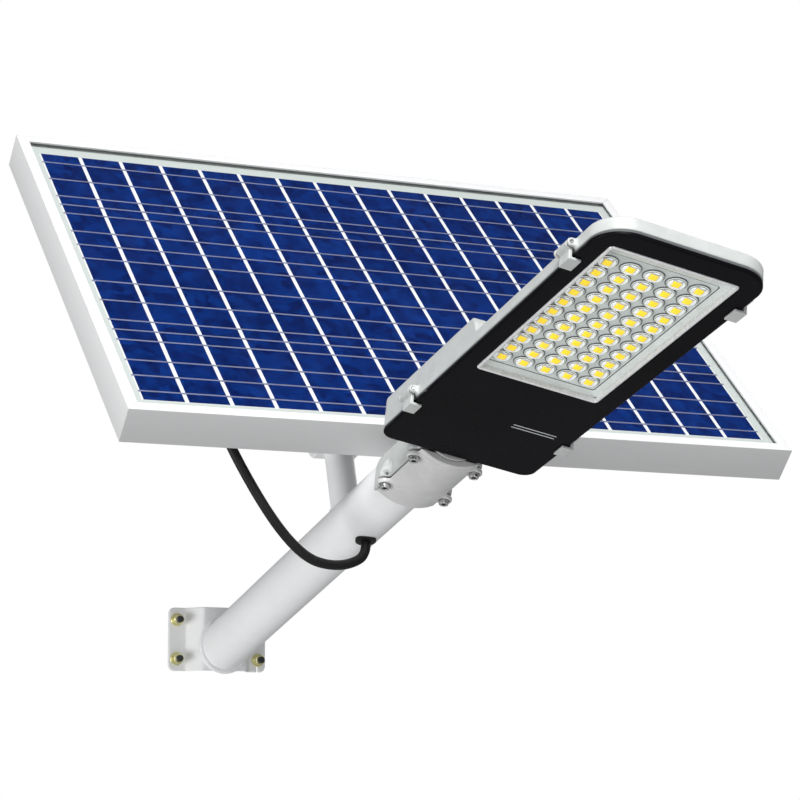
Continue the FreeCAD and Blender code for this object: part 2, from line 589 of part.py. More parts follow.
def clip_lugs():
    """Pairs of cast ears that carry the face clips' pins."""
    lugs = None
    for i in (-1, 1):
        for s in CLIP_S:
            for j in (-1, 1):
                mid = s + j * (CLIP_L / 2 + 2.4)
                span = sorted((i * (HEAD_W / 2 - 2), i * CLIP_X))
                lug = sbox(span[0], span[1], mid - 2, mid + 2, CLIP_Z - 3.4, CLIP_Z + 3.4)
                lug = lug.fuse(rod(Vec(i * CLIP_X, -mid - 2, CLIP_Z), Y, 3.4, 4))
                lugs = lug if lugs is None else lugs.fuse(lug)
    return lugs


def clip_pin_places():
    return [(i * CLIP_X, s) for i in (-1, 1) for s in CLIP_S]


def lamp_housing():
    rim = head_block(0, RIM_BOTTOM, RIM_TOP)
    hump = hump_shape(HUMP_TOP, 0).common(head_block(0, RIM_BOTTOM, 60))
    body = rim.fuse(head_block(8, 0, RIM_TOP + 2)).fuse(hump)
    body = on_head(body.fuse(fins()).fuse(clip_lugs()))
    shell, bore = neck()
    body = body.fuse(shell)
    hollow = head_block(3.5, RIM_BOTTOM - 1, 60).common(hump_shape(HUMP_TOP - 3.5, 3.5))
    hollow = hollow.fuse(head_block(3.5, RIM_BOTTOM - 1, BOARD_Z + 1.6))
    hollow = hollow.fuse(rod(Vec(0, -HEAD_S + 1, GLAND_Z), -Y, GLAND_R, 8))
    body = body.cut(on_head(hollow)).cut(bore)
    for x in (-48, 48):
        for s in (652, 716):
            body = body.fuse(on_head(rod(Vec(x, -s, 9.6), Z, 4.0, 18)))
    for x, s in clip_pin_places():
        body = body.cut(on_head(rod(Vec(x, -s - 20, CLIP_Z), Y, 1.5, 40)))
        slot = sbox(x - 4.2, x + 4.2, s - CLIP_L / 2 - 0.4, s + CLIP_L / 2 + 0.4, -20, 12)
        body = body.cut(on_head(slot.common(outside_head(x))))
    return body.removeSplitter()


def outside_head(x):
    """Half space beyond the housing's side wall at x."""
    if x < 0:
        return sbox(-120, -HEAD_W / 2, 400, 1000, -40, 40)
    return sbox(HEAD_W / 2, 120, 400, 1000, -40, 40)


def clamp_cap():
    """Lower half of the slip-fitter clamp: a shallow arched plate with four screw bosses."""
    top = SPLIT_Z - SPLIT_GAP / 2
    length = CAP_END - CAP_S
    cap = rod(Vec(0, -CAP_S, CAP_LOW + CAP_ARC), -Y, CAP_ARC, length)
    for s in SCREW_S:
        cap = cap.fuse(rod(Vec(0, -s + 7.5, CAP_LOW + CAP_ARC), -Y, CAP_ARC + 1.2, 15))
    cap = cap.common(sbox(-NECK_R, NECK_R, CAP_S, CAP_END, -60, top))
    for i in (-1, 1):
        for s in SCREW_S:
            cap = cap.fuse(rod(Vec(i * SCREW_X, -s, EAR_LOW), Z, EAR_R, top - EAR_LOW))
    cap = cap.cut(rod(Vec(0, 0, 0), -Y, ARM_R + FIT, 600))
    for i in (-1, 1):
        for s in SCREW_S:
            cap = cap.cut(rod(Vec(i * SCREW_X, -s, SEAT_Z - 1), Z, 2.5, 14))
            cap = cap.cut(rod(Vec(i * SCREW_X, -s, SEAT_Z), -Z, 4.8, 20))
    return on_clamp(cap.removeSplitter())


def clamp_screws():
    screws = []
    for i in (-1, 1):
        for s in SCREW_S:
            seat = Vec(i * SCREW_X, -s, SEAT_Z)
            screw = rod(seat, -Z, 4.25, 5).fuse(rod(seat, Z, 2.5, 14))
            socket = hexagon(seat - Z * 5, Z, 4.0, 2.8)
            screws.append(on_clamp(screw.cut(socket)))
    save("clamp_screws", screws)


def window_ring(grow, z0, z1):
    return rounded(WIN_W + grow, WIN_L + grow, WIN_R + grow / 2, z0, z1, WIN_X, -WIN_S)


def face():
    back = FACE_Z + PLATE_T
    plate = head_block(0, FACE_Z, back)
    save("face_plate", on_head(plate.cut(window_ring(0, FACE_Z - 1, back + 1))))
    bezel = window_ring(0, FACE_Z - 0.3, back).cut(window_ring(-5, FACE_Z - 1, back + 1))
    save("window_bezel", on_head(bezel))
    save("window_pane", on_head(window_ring(-5, back - 2, back)))
    seal = head_block(0.5, back, RIM_BOTTOM).cut(head_block(3.5, back - 1, RIM_BOTTOM + 1))
    save("face_gasket", on_head(seal))


def led_places():
    places = []
    for i in range(LED_ACROSS):
        for j in range(LED_ALONG):
            x = LED_X + (i - (LED_ACROSS - 1) / 2) * LED_DX
            s = LED_S + (j - (LED_ALONG - 1) / 2) * LED_DS
            places.append((x, s))
    return places


def tray_loft(shrink, z_open, z_floor):
    """Tapering block between the window's edge and the tray's floor."""
    rings = []
    for w, length, z in ((WIN_W - 5, WIN_L - 5, z_open), (WIN_W - 8, WIN_L - 16, z_floor)):
        hx, hs = w / 2 - shrink, length / 2 - shrink
        corners = [Vec(WIN_X + i * hx, -WIN_S + j * hs, z) for i, j in ((-1, -1), (1, -1), (1, 1), (-1, 1))]
        rings.append(Part.makePolygon(corners + [corners[0]]))
    return Part.makeLoft(rings, True, True)


def led_module():
    back = FACE_Z + PLATE_T
    board_top = BOARD_Z + 1.6
    board = rounded(WIN_W + 10, WIN_L + 10, 4, BOARD_Z, board_top, WIN_X, -WIN_S)
    save("led_board", on_head(board))
    tray = tray_loft(0, back, BOARD_Z).cut(tray_loft(0.6, back - 0.01, BOARD_Z - 0.5))
    chips, lenses = [], []
    holes = None
    for x, s in led_places():
        hole = rod(Vec(x, -s, BOARD_Z + 1), -Z, LENS_R + 0.05, 6)
        holes = [hole] if holes is None else holes + [hole]
        chips.append(on_head(sbox(x - CHIP / 2, x + CHIP / 2, s - CHIP / 2, s + CHIP / 2,
                                  BOARD_Z - 1, BOARD_Z)))
        sphere_r = 10.6
        ball = Part.makeSphere(sphere_r, Vec(x, -s, BOARD_Z - 4.2 + sphere_r))
        dome = rod(Vec(x, -s, BOARD_Z), -Z, LENS_R, 4.4).common(ball)
        hollow = rod(Vec(x, -s, BOARD_Z), -Z, 4.8, 1.6)
        lenses.append(on_head(dome.cut(hollow)))
    save("reflector_tray", on_head(tray.cut(Part.makeCompound(holes))))
    save("led_chips", chips)
    save("led_lenses", lenses)


def electronics():
    cells = []
    for i in (-1, 1):
        for s in (584.0, 603.0, 622.0):
            start = Vec(i * 33.0 - 32.5, -s, 6.0)
            cells.append(on_head(rod(start, X, 9.2, 64).fuse(rod(start + X * 64, X, 4.0, 0.8))))
    save("battery_cells", cells)
    save("battery_tray", on_head(rounded(118, 54, 4, -5.6, -3.4, 0.0, -604.0)))
    board = rounded(108, 78, 2, 8.0, 9.6, 0.0, -684.0)
    save("controller_board", on_head(board))
    parts = [rod(Vec(-34, -665, 8), -Z, 6.3, 11), rod(Vec(-34, -685, 8), -Z, 6.3, 11),
             rod(Vec(20, -700, 8), -Z, 9.0, 7), sbox(-10, 12, 655, 672, 3, 8),
             sbox(28, 50, 655, 676, -2, 8), sbox(-50, -22, 700, 712, -1, 8)]
    save("controller_parts", [on_head(piece) for piece in parts])
    gland = rod(Vec(0, -HEAD_S + 3, GLAND_Z), -Y, GLAND_R, 12)
    gland = gland.fuse(hexagon(Vec(0, -HEAD_S - 3.6, GLAND_Z), -Y, 11.0, 5))
    return on_head(gland.removeSplitter())


def clips():
    """Four spring clips, each a barrel on its pin, a leg and a hook under the face plate."""
    pins = []
    for i, side in ((-1, "left"), (1, "right")):
        for s, place in zip(CLIP_S, ("rear", "front")):
            y0 = -s - CLIP_L / 2
            barrel = rod(Vec(i * CLIP_X, y0, CLIP_Z), Y, 3.2, CLIP_L)
            leg_in, leg_out = HEAD_W / 2 + 1.6, HEAD_W / 2 + 4.4
            hook_top = FACE_Z - 0.3
            leg = sbox(min(i * leg_in, i * leg_out), max(i * leg_in, i * leg_out),
                       s - CLIP_L / 2, s + CLIP_L / 2, hook_top - 2.2, CLIP_Z)
            hook_end = HEAD_W / 2 - 6
            hook = sbox(min(i * hook_end, i * leg_out), max(i * hook_end, i * leg_out),
                        s - CLIP_L / 2, s + CLIP_L / 2, hook_top - 2.2, hook_top)
            clip = barrel.fuse(leg).fuse(hook)
            clip = clip.cut(rod(Vec(i * CLIP_X, y0 - 1, CLIP_Z), Y, 1.5 + FIT, CLIP_L + 2))
            save("face_clip_%s_%s" % (side, place), on_head(clip.removeSplitter()))
            pins.append(on_head(rod(Vec(i * CLIP_X, y0 - 4.4, CLIP_Z), Y, 1.5, CLIP_L + 8.8)))
    save("clip_pins", pins)


# ---------------------------------------------------------------- cables

def panel_cable(mouth):
    """Black cable that hangs from the junction box and turns up into the arm's hole."""
    out = hole_direction()
    face_at = Vec(0, -HOLE_S, 0) + out * (ARM_R + 2)
    elbow = face_at + out * 13
    end = arm_point(face_at.x, -face_at.y, face_at.z)
    turn = arm_point(elbow.x, -elbow.y, elbow.z)
    route = [panel_point(mouth.x, mouth.y, mouth.z), panel_point(mouth.x, mouth.y - 36, mouth.z),
             Vec(-147, -388, 168), Vec(-138, -396, 142), Vec(-114, -398, 102), Vec(-91, -399, 71.5),
             Vec(-68, -398.5, 52), Vec(-46, -396, 47), Vec(-24, -390.5, 49), turn, end]
    for point in route:
        print("  route", ["%.1f" % value for value in point])
    return cord("panel_cable", route, CABLE_R)


save("wall_bracket", wall_bracket())
anchors()
save("arm_tube", arm())
save("arm_weld", arm_weld())
save("cable_grommet", grommet())
save("strut_tube", strut())
save("strut_weld", strut_weld())
save("strut_head", strut_head())
tilt_bolt()
lock_bolt()
frame_rails()
laminate()
corner_keys()
back_rails()
rail_bolts()
save("hinge_plate", hinge_plate())
save("lamp_housing", lamp_housing())
save("clamp_cap", clamp_cap())
clamp_screws()
face()
led_module()
save("head_gland", electronics())
clips()
save("panel_cable", panel_cable(junction_box()))
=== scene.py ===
"""Solar street lamp: the visible model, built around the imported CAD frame.

Lengths inside the part's own spaces are in millimetres; space matrices take them to the row
frame in metres. Spaces: ARM (Y = -distance along the arm), CLAMP (ARM rolled about itself),
HEAD (as CLAMP, but a little flatter) and PANEL (X across, Y up the slope, Z out of the glass).
"""

import json
import math
import random

import bmesh
import bpy
from mathutils import Matrix, Vector


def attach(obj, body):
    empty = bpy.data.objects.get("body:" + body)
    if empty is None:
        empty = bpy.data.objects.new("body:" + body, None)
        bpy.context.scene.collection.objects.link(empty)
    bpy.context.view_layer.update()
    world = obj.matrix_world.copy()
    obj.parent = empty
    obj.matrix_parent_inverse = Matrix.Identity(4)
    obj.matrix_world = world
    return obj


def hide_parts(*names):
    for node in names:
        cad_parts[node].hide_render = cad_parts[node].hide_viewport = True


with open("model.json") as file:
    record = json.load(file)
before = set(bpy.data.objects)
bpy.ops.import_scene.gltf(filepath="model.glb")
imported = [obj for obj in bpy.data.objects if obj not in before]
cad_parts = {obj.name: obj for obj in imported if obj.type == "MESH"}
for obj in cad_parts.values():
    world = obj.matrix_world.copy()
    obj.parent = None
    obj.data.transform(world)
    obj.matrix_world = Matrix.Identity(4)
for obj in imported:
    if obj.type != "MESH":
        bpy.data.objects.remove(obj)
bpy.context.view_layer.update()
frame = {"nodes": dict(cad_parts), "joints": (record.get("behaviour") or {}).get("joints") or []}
joints = {j["name"]: j for j in frame["joints"]}
rng = random.Random(7)

# ---------------------------------------------------------------- spaces

ROLL, PANEL_TILT, HEAD_TILT = math.radians(12.7), math.radians(42.5), math.radians(15.0)
arm_axis = Vector(joints["head_roll"]["axis"])
ARM_TILT = math.asin(arm_axis.z)
ROLL_AT = 0.5
arm_start = Vector(joints["head_roll"]["pos_m"]) - arm_axis * ROLL_AT
tilt_pin = Vector(joints["panel_tilt"]["pos_m"])
SCALE = Matrix.Scale(0.001, 4)
ROW = SCALE
ARM = Matrix.Translation(arm_start) @ Matrix.Rotation(-ARM_TILT, 4, "X") @ SCALE
CLAMP = ARM @ Matrix.Rotation(ROLL, 4, "Y")
HEAD = (Matrix.Translation((0.0, -0.024, -0.004)) @ Matrix.Rotation(-HEAD_TILT, 4, "X") @ SCALE
        @ Matrix.Rotation(ROLL, 4, "Y"))
PANEL = (Matrix.Translation(tilt_pin) @ Matrix.Rotation(PANEL_TILT, 4, "X") @ SCALE
         @ Matrix.Translation((77.2, 117.0, 90.0)))

# ---------------------------------------------------------------- camera

scene = bpy.context.scene
AZIMUTH, ELEVATION = math.radians(-25.24), math.radians(-8.28)
SENSOR, LENS_MM = 36.0, 117.0
# From the object's origin the camera is this far away, to the right and up, in metres
DISTANCE, ASIDE, ABOVE = 2.69733, 0.190483, 0.249275
back = Vector((math.sin(AZIMUTH) * math.cos(ELEVATION), -math.cos(AZIMUTH) * math.cos(ELEVATION),
               math.sin(ELEVATION)))
right = Vector((math.cos(AZIMUTH), math.sin(AZIMUTH), 0))
up = back.cross(right)
camera = bpy.data.objects.new("camera", bpy.data.cameras.new("camera"))
camera.data.sensor_width, camera.data.lens = SENSOR, LENS_MM
camera.data.clip_start, camera.data.clip_end = 0.1, 200.0
camera.location = back * DISTANCE + right * ASIDE + up * ABOVE
camera.rotation_mode = "QUATERNION"
camera.rotation_quaternion = Matrix((right, up, back)).transposed().to_quaternion()
scene.collection.objects.link(camera)
scene.camera = camera

# ---------------------------------------------------------------- materials


class Look:
    """A material, with short ways to add nodes to it. Coordinates are in metres in its space."""

    def __init__(self, name, space=None, soft_edge=0.0):
        self.mat = bpy.data.materials.new(name)
        self.mat.use_nodes = True
        self.tree = self.mat.node_tree
        self.bsdf = self.tree.nodes["Principled BSDF"]
        self.at = self.add("ShaderNodeTexCoord").outputs["Object"]
        if space is not None:
            turn = self.add("ShaderNodeMapping", vector_type="TEXTURE")
            turn.inputs["Location"].default_value = space.to_translation()
            turn.inputs["Rotation"].default_value = space.to_euler()
            self.tree.links.new(self.at, turn.inputs["Vector"])
            self.at = turn.outputs["Vector"]
        self.height = None
        self.soft_edge = soft_edge

    def add(self, kind, **settings):
        node = self.tree.nodes.new(kind)
        for key, value in settings.items():
            setattr(node, key, value)
        return node

    def put(self, socket, value):
        if isinstance(value, bpy.types.NodeSocket):
            self.tree.links.new(value, socket)
        elif socket.type == "RGBA":
            socket.default_value = (*value[:3], 1.0)
        else:
            socket.default_value = value

    def stretched(self, stretch):
        if stretch is None:
            return self.at
        node = self.add("ShaderNodeMapping")
        node.inputs["Scale"].default_value = stretch
        self.tree.links.new(self.at, node.inputs["Vector"])
        return node.outputs["Vector"]

    def noise(self, scale, detail=3.0, rough=0.55, stretch=None, warp=0.0):
        node = self.add("ShaderNodeTexNoise")
        self.put(node.inputs["Vector"], self.stretched(stretch))
        for key, value in (("Scale", scale), ("Detail", detail), ("Roughness", rough),
                           ("Distortion", warp)):
            node.inputs[key].default_value = value
        return node.outputs["Fac"]

    def cells(self, scale, output="Distance", stretch=None):
        node = self.add("ShaderNodeTexVoronoi")
        self.put(node.inputs["Vector"], self.stretched(stretch))
        node.inputs["Scale"].default_value = scale
        return node.outputs[output]

    def range(self, value, low, high, to_low=0.0, to_high=1.0):
        node = self.add("ShaderNodeMapRange")
        self.put(node.inputs["Value"], value)
        for key, number in (("From Min", low), ("From Max", high), ("To Min", to_low),
                            ("To Max", to_high)):
            node.inputs[key].default_value = number
        return node.outputs["Result"]

    def math(self, operation, first, second=0.0, third=0.0):
        node = self.add("ShaderNodeMath", operation=operation)
        for socket, value in zip(node.inputs, (first, second, third)):
            self.put(socket, value)
        return node.outputs[0]

    def mix(self, factor, first, second, blend="MIX"):
        node = self.add("ShaderNodeMix", data_type="RGBA", blend_type=blend)
        self.put(node.inputs[0], factor)
        self.put(node.inputs[6], first)
        self.put(node.inputs[7], second)
        return node.outputs[2]

    def split(self, colour, axis):
        node = self.add("ShaderNodeSeparateXYZ")
        self.put(node.inputs[0], colour)
        return node.outputs[axis]

    def edges(self, radius):
        """1 near sharp edges and 0 on open surfaces."""
        bevel = self.add("ShaderNodeBevel", samples=4)
        bevel.inputs["Radius"].default_value = radius
        geometry = self.add("ShaderNodeNewGeometry")
        dot = self.add("ShaderNodeVectorMath", operation="DOT_PRODUCT")
        self.tree.links.new(bevel.outputs[0], dot.inputs[0])
        self.tree.links.new(geometry.outputs["Normal"], dot.inputs[1])
        return self.range(dot.outputs["Value"], 0.995, 0.90)

    def bump(self, height, distance):
        node = self.add("ShaderNodeBump")
        node.inputs["Strength"].default_value = 1.0
        node.inputs["Distance"].default_value = distance
        self.put(node.inputs["Height"], height)
        if self.height is not None:
            self.tree.links.new(self.height, node.inputs["Normal"])
        elif self.soft_edge > 0:
            bevel = self.add("ShaderNodeBevel", samples=4)
            bevel.inputs["Radius"].default_value = self.soft_edge
            self.tree.links.new(bevel.outputs[0], node.inputs["Normal"])
        self.height = node.outputs[0]

    def finish(self, colour, rough, metal=0.0, specular=0.5, **others):
        self.put(self.bsdf.inputs["Base Color"], colour)
        self.put(self.bsdf.inputs["Roughness"], rough)
        self.put(self.bsdf.inputs["Metallic"], metal)
        self.bsdf.inputs["Specular IOR Level"].default_value = specular
        for key, value in others.items():
            self.bsdf.inputs[key.replace("_", " ")].default_value = value
        if self.height is not None:
            self.tree.links.new(self.height, self.bsdf.inputs["Normal"])
        return self.mat


def powder_coat(name, base, space, peel=0.00005):
    """Sprayed coat with fine orange peel, faint grime and rubbed edges."""
    look = Look(name, space, 0.0006)
    cloud = look.noise(9.0, 4.0)
    grime = look.range(look.noise(38.0, 6.0, 0.65), 0.52, 0.78)
    colour = look.mix(look.range(cloud, 0.3, 0.7, 0.0, 0.35), base, [c * 0.95 for c in base])
    colour = look.mix(look.math("MULTIPLY", grime, 0.10), colour, (0.52, 0.51, 0.48))
    rub = look.math("MULTIPLY", look.edges(0.0009), look.range(look.noise(160.0, 3.0), 0.45, 0.62))
    colour = look.mix(look.math("MULTIPLY", rub, 0.45), colour, (0.60, 0.61, 0.62))
    look.bump(look.noise(420.0, 2.0), peel)
    look.bump(look.noise(2600.0, 1.0), 0.000012)
    return look.finish(colour, look.range(look.noise(70.0, 4.0), 0.3, 0.7, 0.34, 0.47))


def extruded(name, space, along, shade):
    """Satin white anodised extrusion with die lines running along it; painted light makes faces that look up
    lighter, the rest keep the given painted shade.
    """
    look = Look(name, space, 0.0004)
    stretch = (0.03, 1.0, 1.0) if along == "X" else (1.0, 0.03, 1.0)
    lines = look.noise(900.0, 3.0, 0.6, stretch)
    fine = look.noise(3000.0, 2.0, 0.6, stretch)
    spots = look.range(look.noise(55.0, 5.0, 0.7), 0.58, 0.80)
    # Painted shade: the given shade level sets how dark the faces that don't look up are.
    colour = look.mix(look.range(lines, 0.3, 0.7, 0.0, 0.5), (shade, shade + 0.002, shade + 0.005),
                      (shade - 0.05, shade - 0.048, shade - 0.045))
    # Painted light: faces whose normal points up are mixed to a lighter white.
    painted_light_upward = look.split(look.add("ShaderNodeTexCoord").outputs["Normal"], "Z")
    colour = look.mix(look.range(painted_light_upward, 0.3, 0.6), colour, (0.88, 0.885, 0.89))
    colour = look.mix(look.math("MULTIPLY", spots, 0.12), colour, (0.50, 0.50, 0.48))
    nick = look.math("MULTIPLY", look.edges(0.0007), look.range(look.noise(210.0, 2.0), 0.5, 0.62))
    colour = look.mix(look.math("MULTIPLY", nick, 0.5), colour, (0.55, 0.56, 0.57))
    look.bump(lines, 0.00002)
    look.bump(fine, 0.000008)
    return look.finish(colour, look.range(fine, 0.3, 0.7, 0.30, 0.44), 0.12)


def silicon(name, space):
    """Blue polycrystalline cells: flakes of slightly different blue, with fine fingers."""
    look = Look(name, space)
    flakes = look.cells(85.0, "Color")
    small = look.cells(190.0, "Color", stretch=(1.0, 0.6, 1.0))
    fine = look.math("MULTIPLY", look.split(small, "Y"), 0.38)
    tone = look.math("MULTIPLY_ADD", look.split(flakes, "X"), 0.62, fine)
    colour = look.mix(look.range(tone, 0.15, 0.9), (0.0, 0.007, 0.072), (0.001, 0.024, 0.165))
    hue = look.range(look.split(flakes, "Z"), 0.6, 1.0, 0.0, 0.30)
    colour = look.mix(hue, colour, (0.003, 0.014, 0.110))
    rows = look.add("ShaderNodeTexWave", wave_type="BANDS", bands_direction="X", wave_profile="SIN")
    look.put(rows.inputs["Vector"], look.at)
    rows.inputs["Scale"].default_value = 160.0
    finger = look.range(rows.outputs["Fac"], 0.90, 1.0)
    colour = look.mix(look.math("MULTIPLY", finger, 0.05), colour, (0.10, 0.16, 0.40))
    cloud = look.range(look.noise(7.0, 2.0), 0.3, 0.7, 0.92, 1.12)
    colour = look.mix(1.0, colour, cloud, "MULTIPLY")
    look.bump(look.split(flakes, "Y"), 0.00003)
    return look.finish(colour, look.range(tone, 0.1, 0.9, 0.28, 0.46), 0.0, 0.0)


def thin_glass(name, space, tint, straight, grazing, dust):
    """Clear sheet: see-through, a weak mirror that grows at grazing angles, and a little dust."""
    look = Look(name, space)
    clear = look.add("ShaderNodeBsdfTransparent")
    look.put(clear.inputs["Color"], tint)
    gloss = look.add("ShaderNodeBsdfGlossy")
    look.put(gloss.inputs["Color"], (1, 1, 1))
    look.put(gloss.inputs["Roughness"], look.range(look.noise(120.0, 4.0), 0.35, 0.7, 0.04, 0.14))
    look.bump(look.noise(900.0, 2.0), 0.00001)
    look.put(gloss.inputs["Normal"], look.height)
    weight = look.add("ShaderNodeLayerWeight")
    weight.inputs["Blend"].default_value = 0.5
    edge_on = look.math("POWER", weight.outputs["Facing"], 5.0)
    mirror = look.add("ShaderNodeMixShader")
    look.put(mirror.inputs[0], look.math("MULTIPLY_ADD", edge_on, grazing, straight))
    look.put(mirror.inputs[1], clear.outputs[0])
    look.put(mirror.inputs[2], gloss.outputs[0])
    powder = look.add("ShaderNodeBsdfDiffuse")
    look.put(powder.inputs["Color"], (0.60, 0.60, 0.58))
    specks = look.range(look.noise(260.0, 6.0, 0.75), 0.5, 0.85, 0.0, dust)
    streaks = look.range(look.noise(24.0, 5.0, 0.6, (1.0, 0.35, 1.0)), 0.45, 0.8, 0.0, dust)
    cover = look.add("ShaderNodeMixShader")
    look.put(cover.inputs[0], look.math("ADD", specks, streaks))
    look.put(cover.inputs[1], mirror.outputs[0])
    look.put(cover.inputs[2], powder.outputs[0])
    out = look.tree.nodes["Material Output"]
    look.tree.links.new(cover.outputs[0], out.inputs["Surface"])
    look.tree.nodes.remove(look.bsdf)
    return look.mat


def lens_glass(name):
    """Clear acrylic lens that bends what is seen through it and lets the light in."""
    look = Look(name, HEAD)
    glass = look.add("ShaderNodeBsdfGlass")
    glass.inputs["Color"].default_value = (0.985, 0.995, 0.99, 1.0)
    glass.inputs["IOR"].default_value = 1.49
    look.put(glass.inputs["Roughness"], look.range(look.noise(700.0, 3.0), 0.3, 0.8, 0.0, 0.05))
    look.bump(look.noise(1500.0, 2.0), 0.000006)
    look.put(glass.inputs["Normal"], look.height)
    clear = look.add("ShaderNodeBsdfTransparent")
    look.put(clear.inputs["Color"], (0.95, 0.97, 0.96))
    path = look.add("ShaderNodeLightPath")
    both = look.add("ShaderNodeMixShader")
    look.put(both.inputs[0], path.outputs["Is Shadow Ray"])
    look.put(both.inputs[1], glass.outputs[0])
    look.put(both.inputs[2], clear.outputs[0])
    look.tree.links.new(both.outputs[0], look.tree.nodes["Material Output"].inputs["Surface"])
    look.tree.nodes.remove(look.bsdf)
    return look.mat


def casting(name, space, base, metal, grain):
    """Die-cast surface: grain, flow marks, painted shade darkening the corners, and bright worn edges."""
    look = Look(name, space, 0.0005)
    flow = look.noise(45.0, 5.0, 0.6, None, 1.2)
    colour = look.mix(look.range(flow, 0.3, 0.72), [c * 0.93 for c in base], [c * 1.06 for c in base])
    # Painted shade: ambient occlusion darkens corners and recesses towards 0.42 of the base colour.
    shade = look.add("ShaderNodeAmbientOcclusion", samples=4)
    shade.inputs["Distance"].default_value = 0.006
    corner = look.range(shade.outputs["AO"], 0.75, 0.25, 0.0, 0.45)
    colour = look.mix(corner, colour, [c * 0.42 for c in base])
    worn = look.math("MULTIPLY", look.edges(0.0009), look.range(look.noise(240.0, 3.0), 0.42, 0.6))
    colour = look.mix(look.math("MULTIPLY", worn, 0.5), colour, (0.80, 0.81, 0.82))
    look.bump(look.noise(1100.0, 3.0, 0.7), grain)
    look.bump(look.noise(260.0, 3.0), grain * 1.6)
    return look.finish(colour, look.range(flow, 0.25, 0.75, 0.40, 0.56), metal)


def plated(name, base, rough, space=None, tints=None, scale=180.0, metal=1.0):
    """Metal with a plated or drawn surface, a little stained."""
    look = Look(name, space, 0.0002)
    stain = look.noise(scale, 5.0, 0.65, None, 0.6)
    colour = look.mix(look.range(stain, 0.3, 0.75), base, [c * 0.72 for c in base])
    for tint, low, high in tints or ():
        colour = look.mix(look.range(look.noise(scale * 1.7, 2.0), low, high, 0.0, 0.5), colour, tint)
    look.bump(look.noise(3500.0, 2.0), 0.000008)
    return look.finish(colour, look.range(stain, 0.3, 0.7, rough * 0.75, rough * 1.3), metal)


def spangled(name, space):
    """Hot-dip galvanised steel with zinc crystals."""
    look = Look(name, space, 0.0005)
    crystal = look.cells(110.0, "Color")
    feather = look.noise(420.0, 4.0, 0.7, (1.0, 0.3, 1.0))
    tone = look.math("MULTIPLY_ADD", look.split(crystal, "X"), 0.6, look.math("MULTIPLY", feather, 0.4))
    colour = look.mix(tone, (0.47, 0.49, 0.51), (0.70, 0.72, 0.73))
    white_rust = look.range(look.noise(30.0, 6.0, 0.7), 0.60, 0.75, 0.0, 0.35)
    colour = look.mix(white_rust, colour, (0.72, 0.73, 0.72))
    look.bump(look.noise(700.0, 3.0), 0.00002)
    return look.finish(colour, look.range(tone, 0.2, 0.8, 0.34, 0.55), 0.85)


def moulded(name, base, rough, space=None, grain=0.00003, scale=1400.0, dust=0.035, specular=0.4,
            **others):
    """Plastic or rubber with a fine moulded grain and a dusty bloom."""
    look = Look(name, space, 0.0004)
    bloom = look.range(look.noise(45.0, 5.0, 0.65), 0.4, 0.8)
    dusty = [c * 0.6 + dust for c in base]
    colour = look.mix(look.math("MULTIPLY", bloom, 0.55), base, dusty)
    look.bump(look.cells(scale, "Distance"), grain)
    look.bump(look.noise(scale * 0.3, 3.0), grain)
    return look.finish(colour, look.range(bloom, 0.0, 1.0, rough, rough + 0.14), 0.0, specular, **others)


def two_tone_sheet(name, space):
    """Backsheet: white film behind the cells, greenish grey in the margin around them."""
    look = Look(name, space)
    half_width, half_height = 0.3155, 0.2115
    across = look.math("LESS_THAN", look.math("ABSOLUTE", look.split(look.at, "X")), half_width)
    up_slope = look.math("LESS_THAN", look.math("ABSOLUTE", look.split(look.at, "Y")), half_height)
    weave = look.range(look.noise(700.0, 3.0, 0.6), 0.3, 0.7)
    margin = look.mix(weave, (0.56, 0.60, 0.575), (0.60, 0.63, 0.61))
    white = look.mix(weave, (0.80, 0.80, 0.82), (0.86, 0.86, 0.87))
    colour = look.mix(look.math("MULTIPLY", across, up_slope), margin, white)
    look.bump(look.noise(900.0, 3.0), 0.00001)
    return look.finish(colour, look.range(weave, 0.0, 1.0, 0.38, 0.50), 0.0, 0.3)


def black_gloss(name):
    """Gloss black face with hairline swirls and a few dust specks."""
    look = Look(name, HEAD)
    cloud = look.noise(6.0, 3.0)
    colour = look.mix(look.range(cloud, 0.3, 0.7), (0.0035, 0.0033, 0.0042), (0.0065, 0.0060, 0.0078))
    specks = look.range(look.cells(420.0), 0.10, 0.04)
    sparse = look.range(look.noise(40.0, 2.0), 0.55, 0.62)
    dust = look.math("MULTIPLY", look.math("MULTIPLY", specks, sparse), 0.35)
    colour = look.mix(dust, colour, (0.30, 0.30, 0.29))
    swirl = look.noise(1700.0, 3.0, 0.7, (1.0, 0.05, 1.0), 0.4)
    look.bump(look.noise(260.0, 2.0), 0.000012)
    return look.finish(colour, look.range(swirl, 0.35, 0.75, 0.26, 0.40), 0.0, 0.03)


def reflector(name, pebbles, base, rough, metal):
    """Metallised sheet with a fine pebbled surface."""
    look = Look(name, HEAD)
    pebble = look.cells(pebbles, "Distance")
    cloud = look.noise(60.0, 4.0, 0.6)
    colour = look.mix(look.range(cloud, 0.3, 0.7), base, [c * 0.84 for c in base])
    colour = look.mix(look.range(pebble, 0.35, 0.65, 0.0, 0.30), colour, [c * 0.62 for c in base])
    look.bump(pebble, 0.00007)
    look.bump(look.noise(2400.0, 2.0), 0.00001)
    return look.finish(colour, look.range(cloud, 0.3, 0.7, rough, rough + 0.12), metal)


def phosphor(name):
    """Amber phosphor, grainy, with painted glow: it gives off a little light of its own, so the middle of
    each chip looks brighter though the lamp is off.
    """
    look = Look(name, HEAD)
    grain = look.noise(2600.0, 3.0, 0.7)
    colour = look.mix(look.range(grain, 0.3, 0.7), (1.0, 0.56, 0.0), (1.0, 0.74, 0.01))
    look.bump(grain, 0.00003)
    # Painted light: a small amber emission, though the lamp is off.
    return look.finish(colour, look.range(grain, 0.3, 0.7, 0.35, 0.55), 0.0, 0.5,
                       Emission_Color=(1.0, 0.66, 0.0, 1.0), Emission_Strength=0.6)


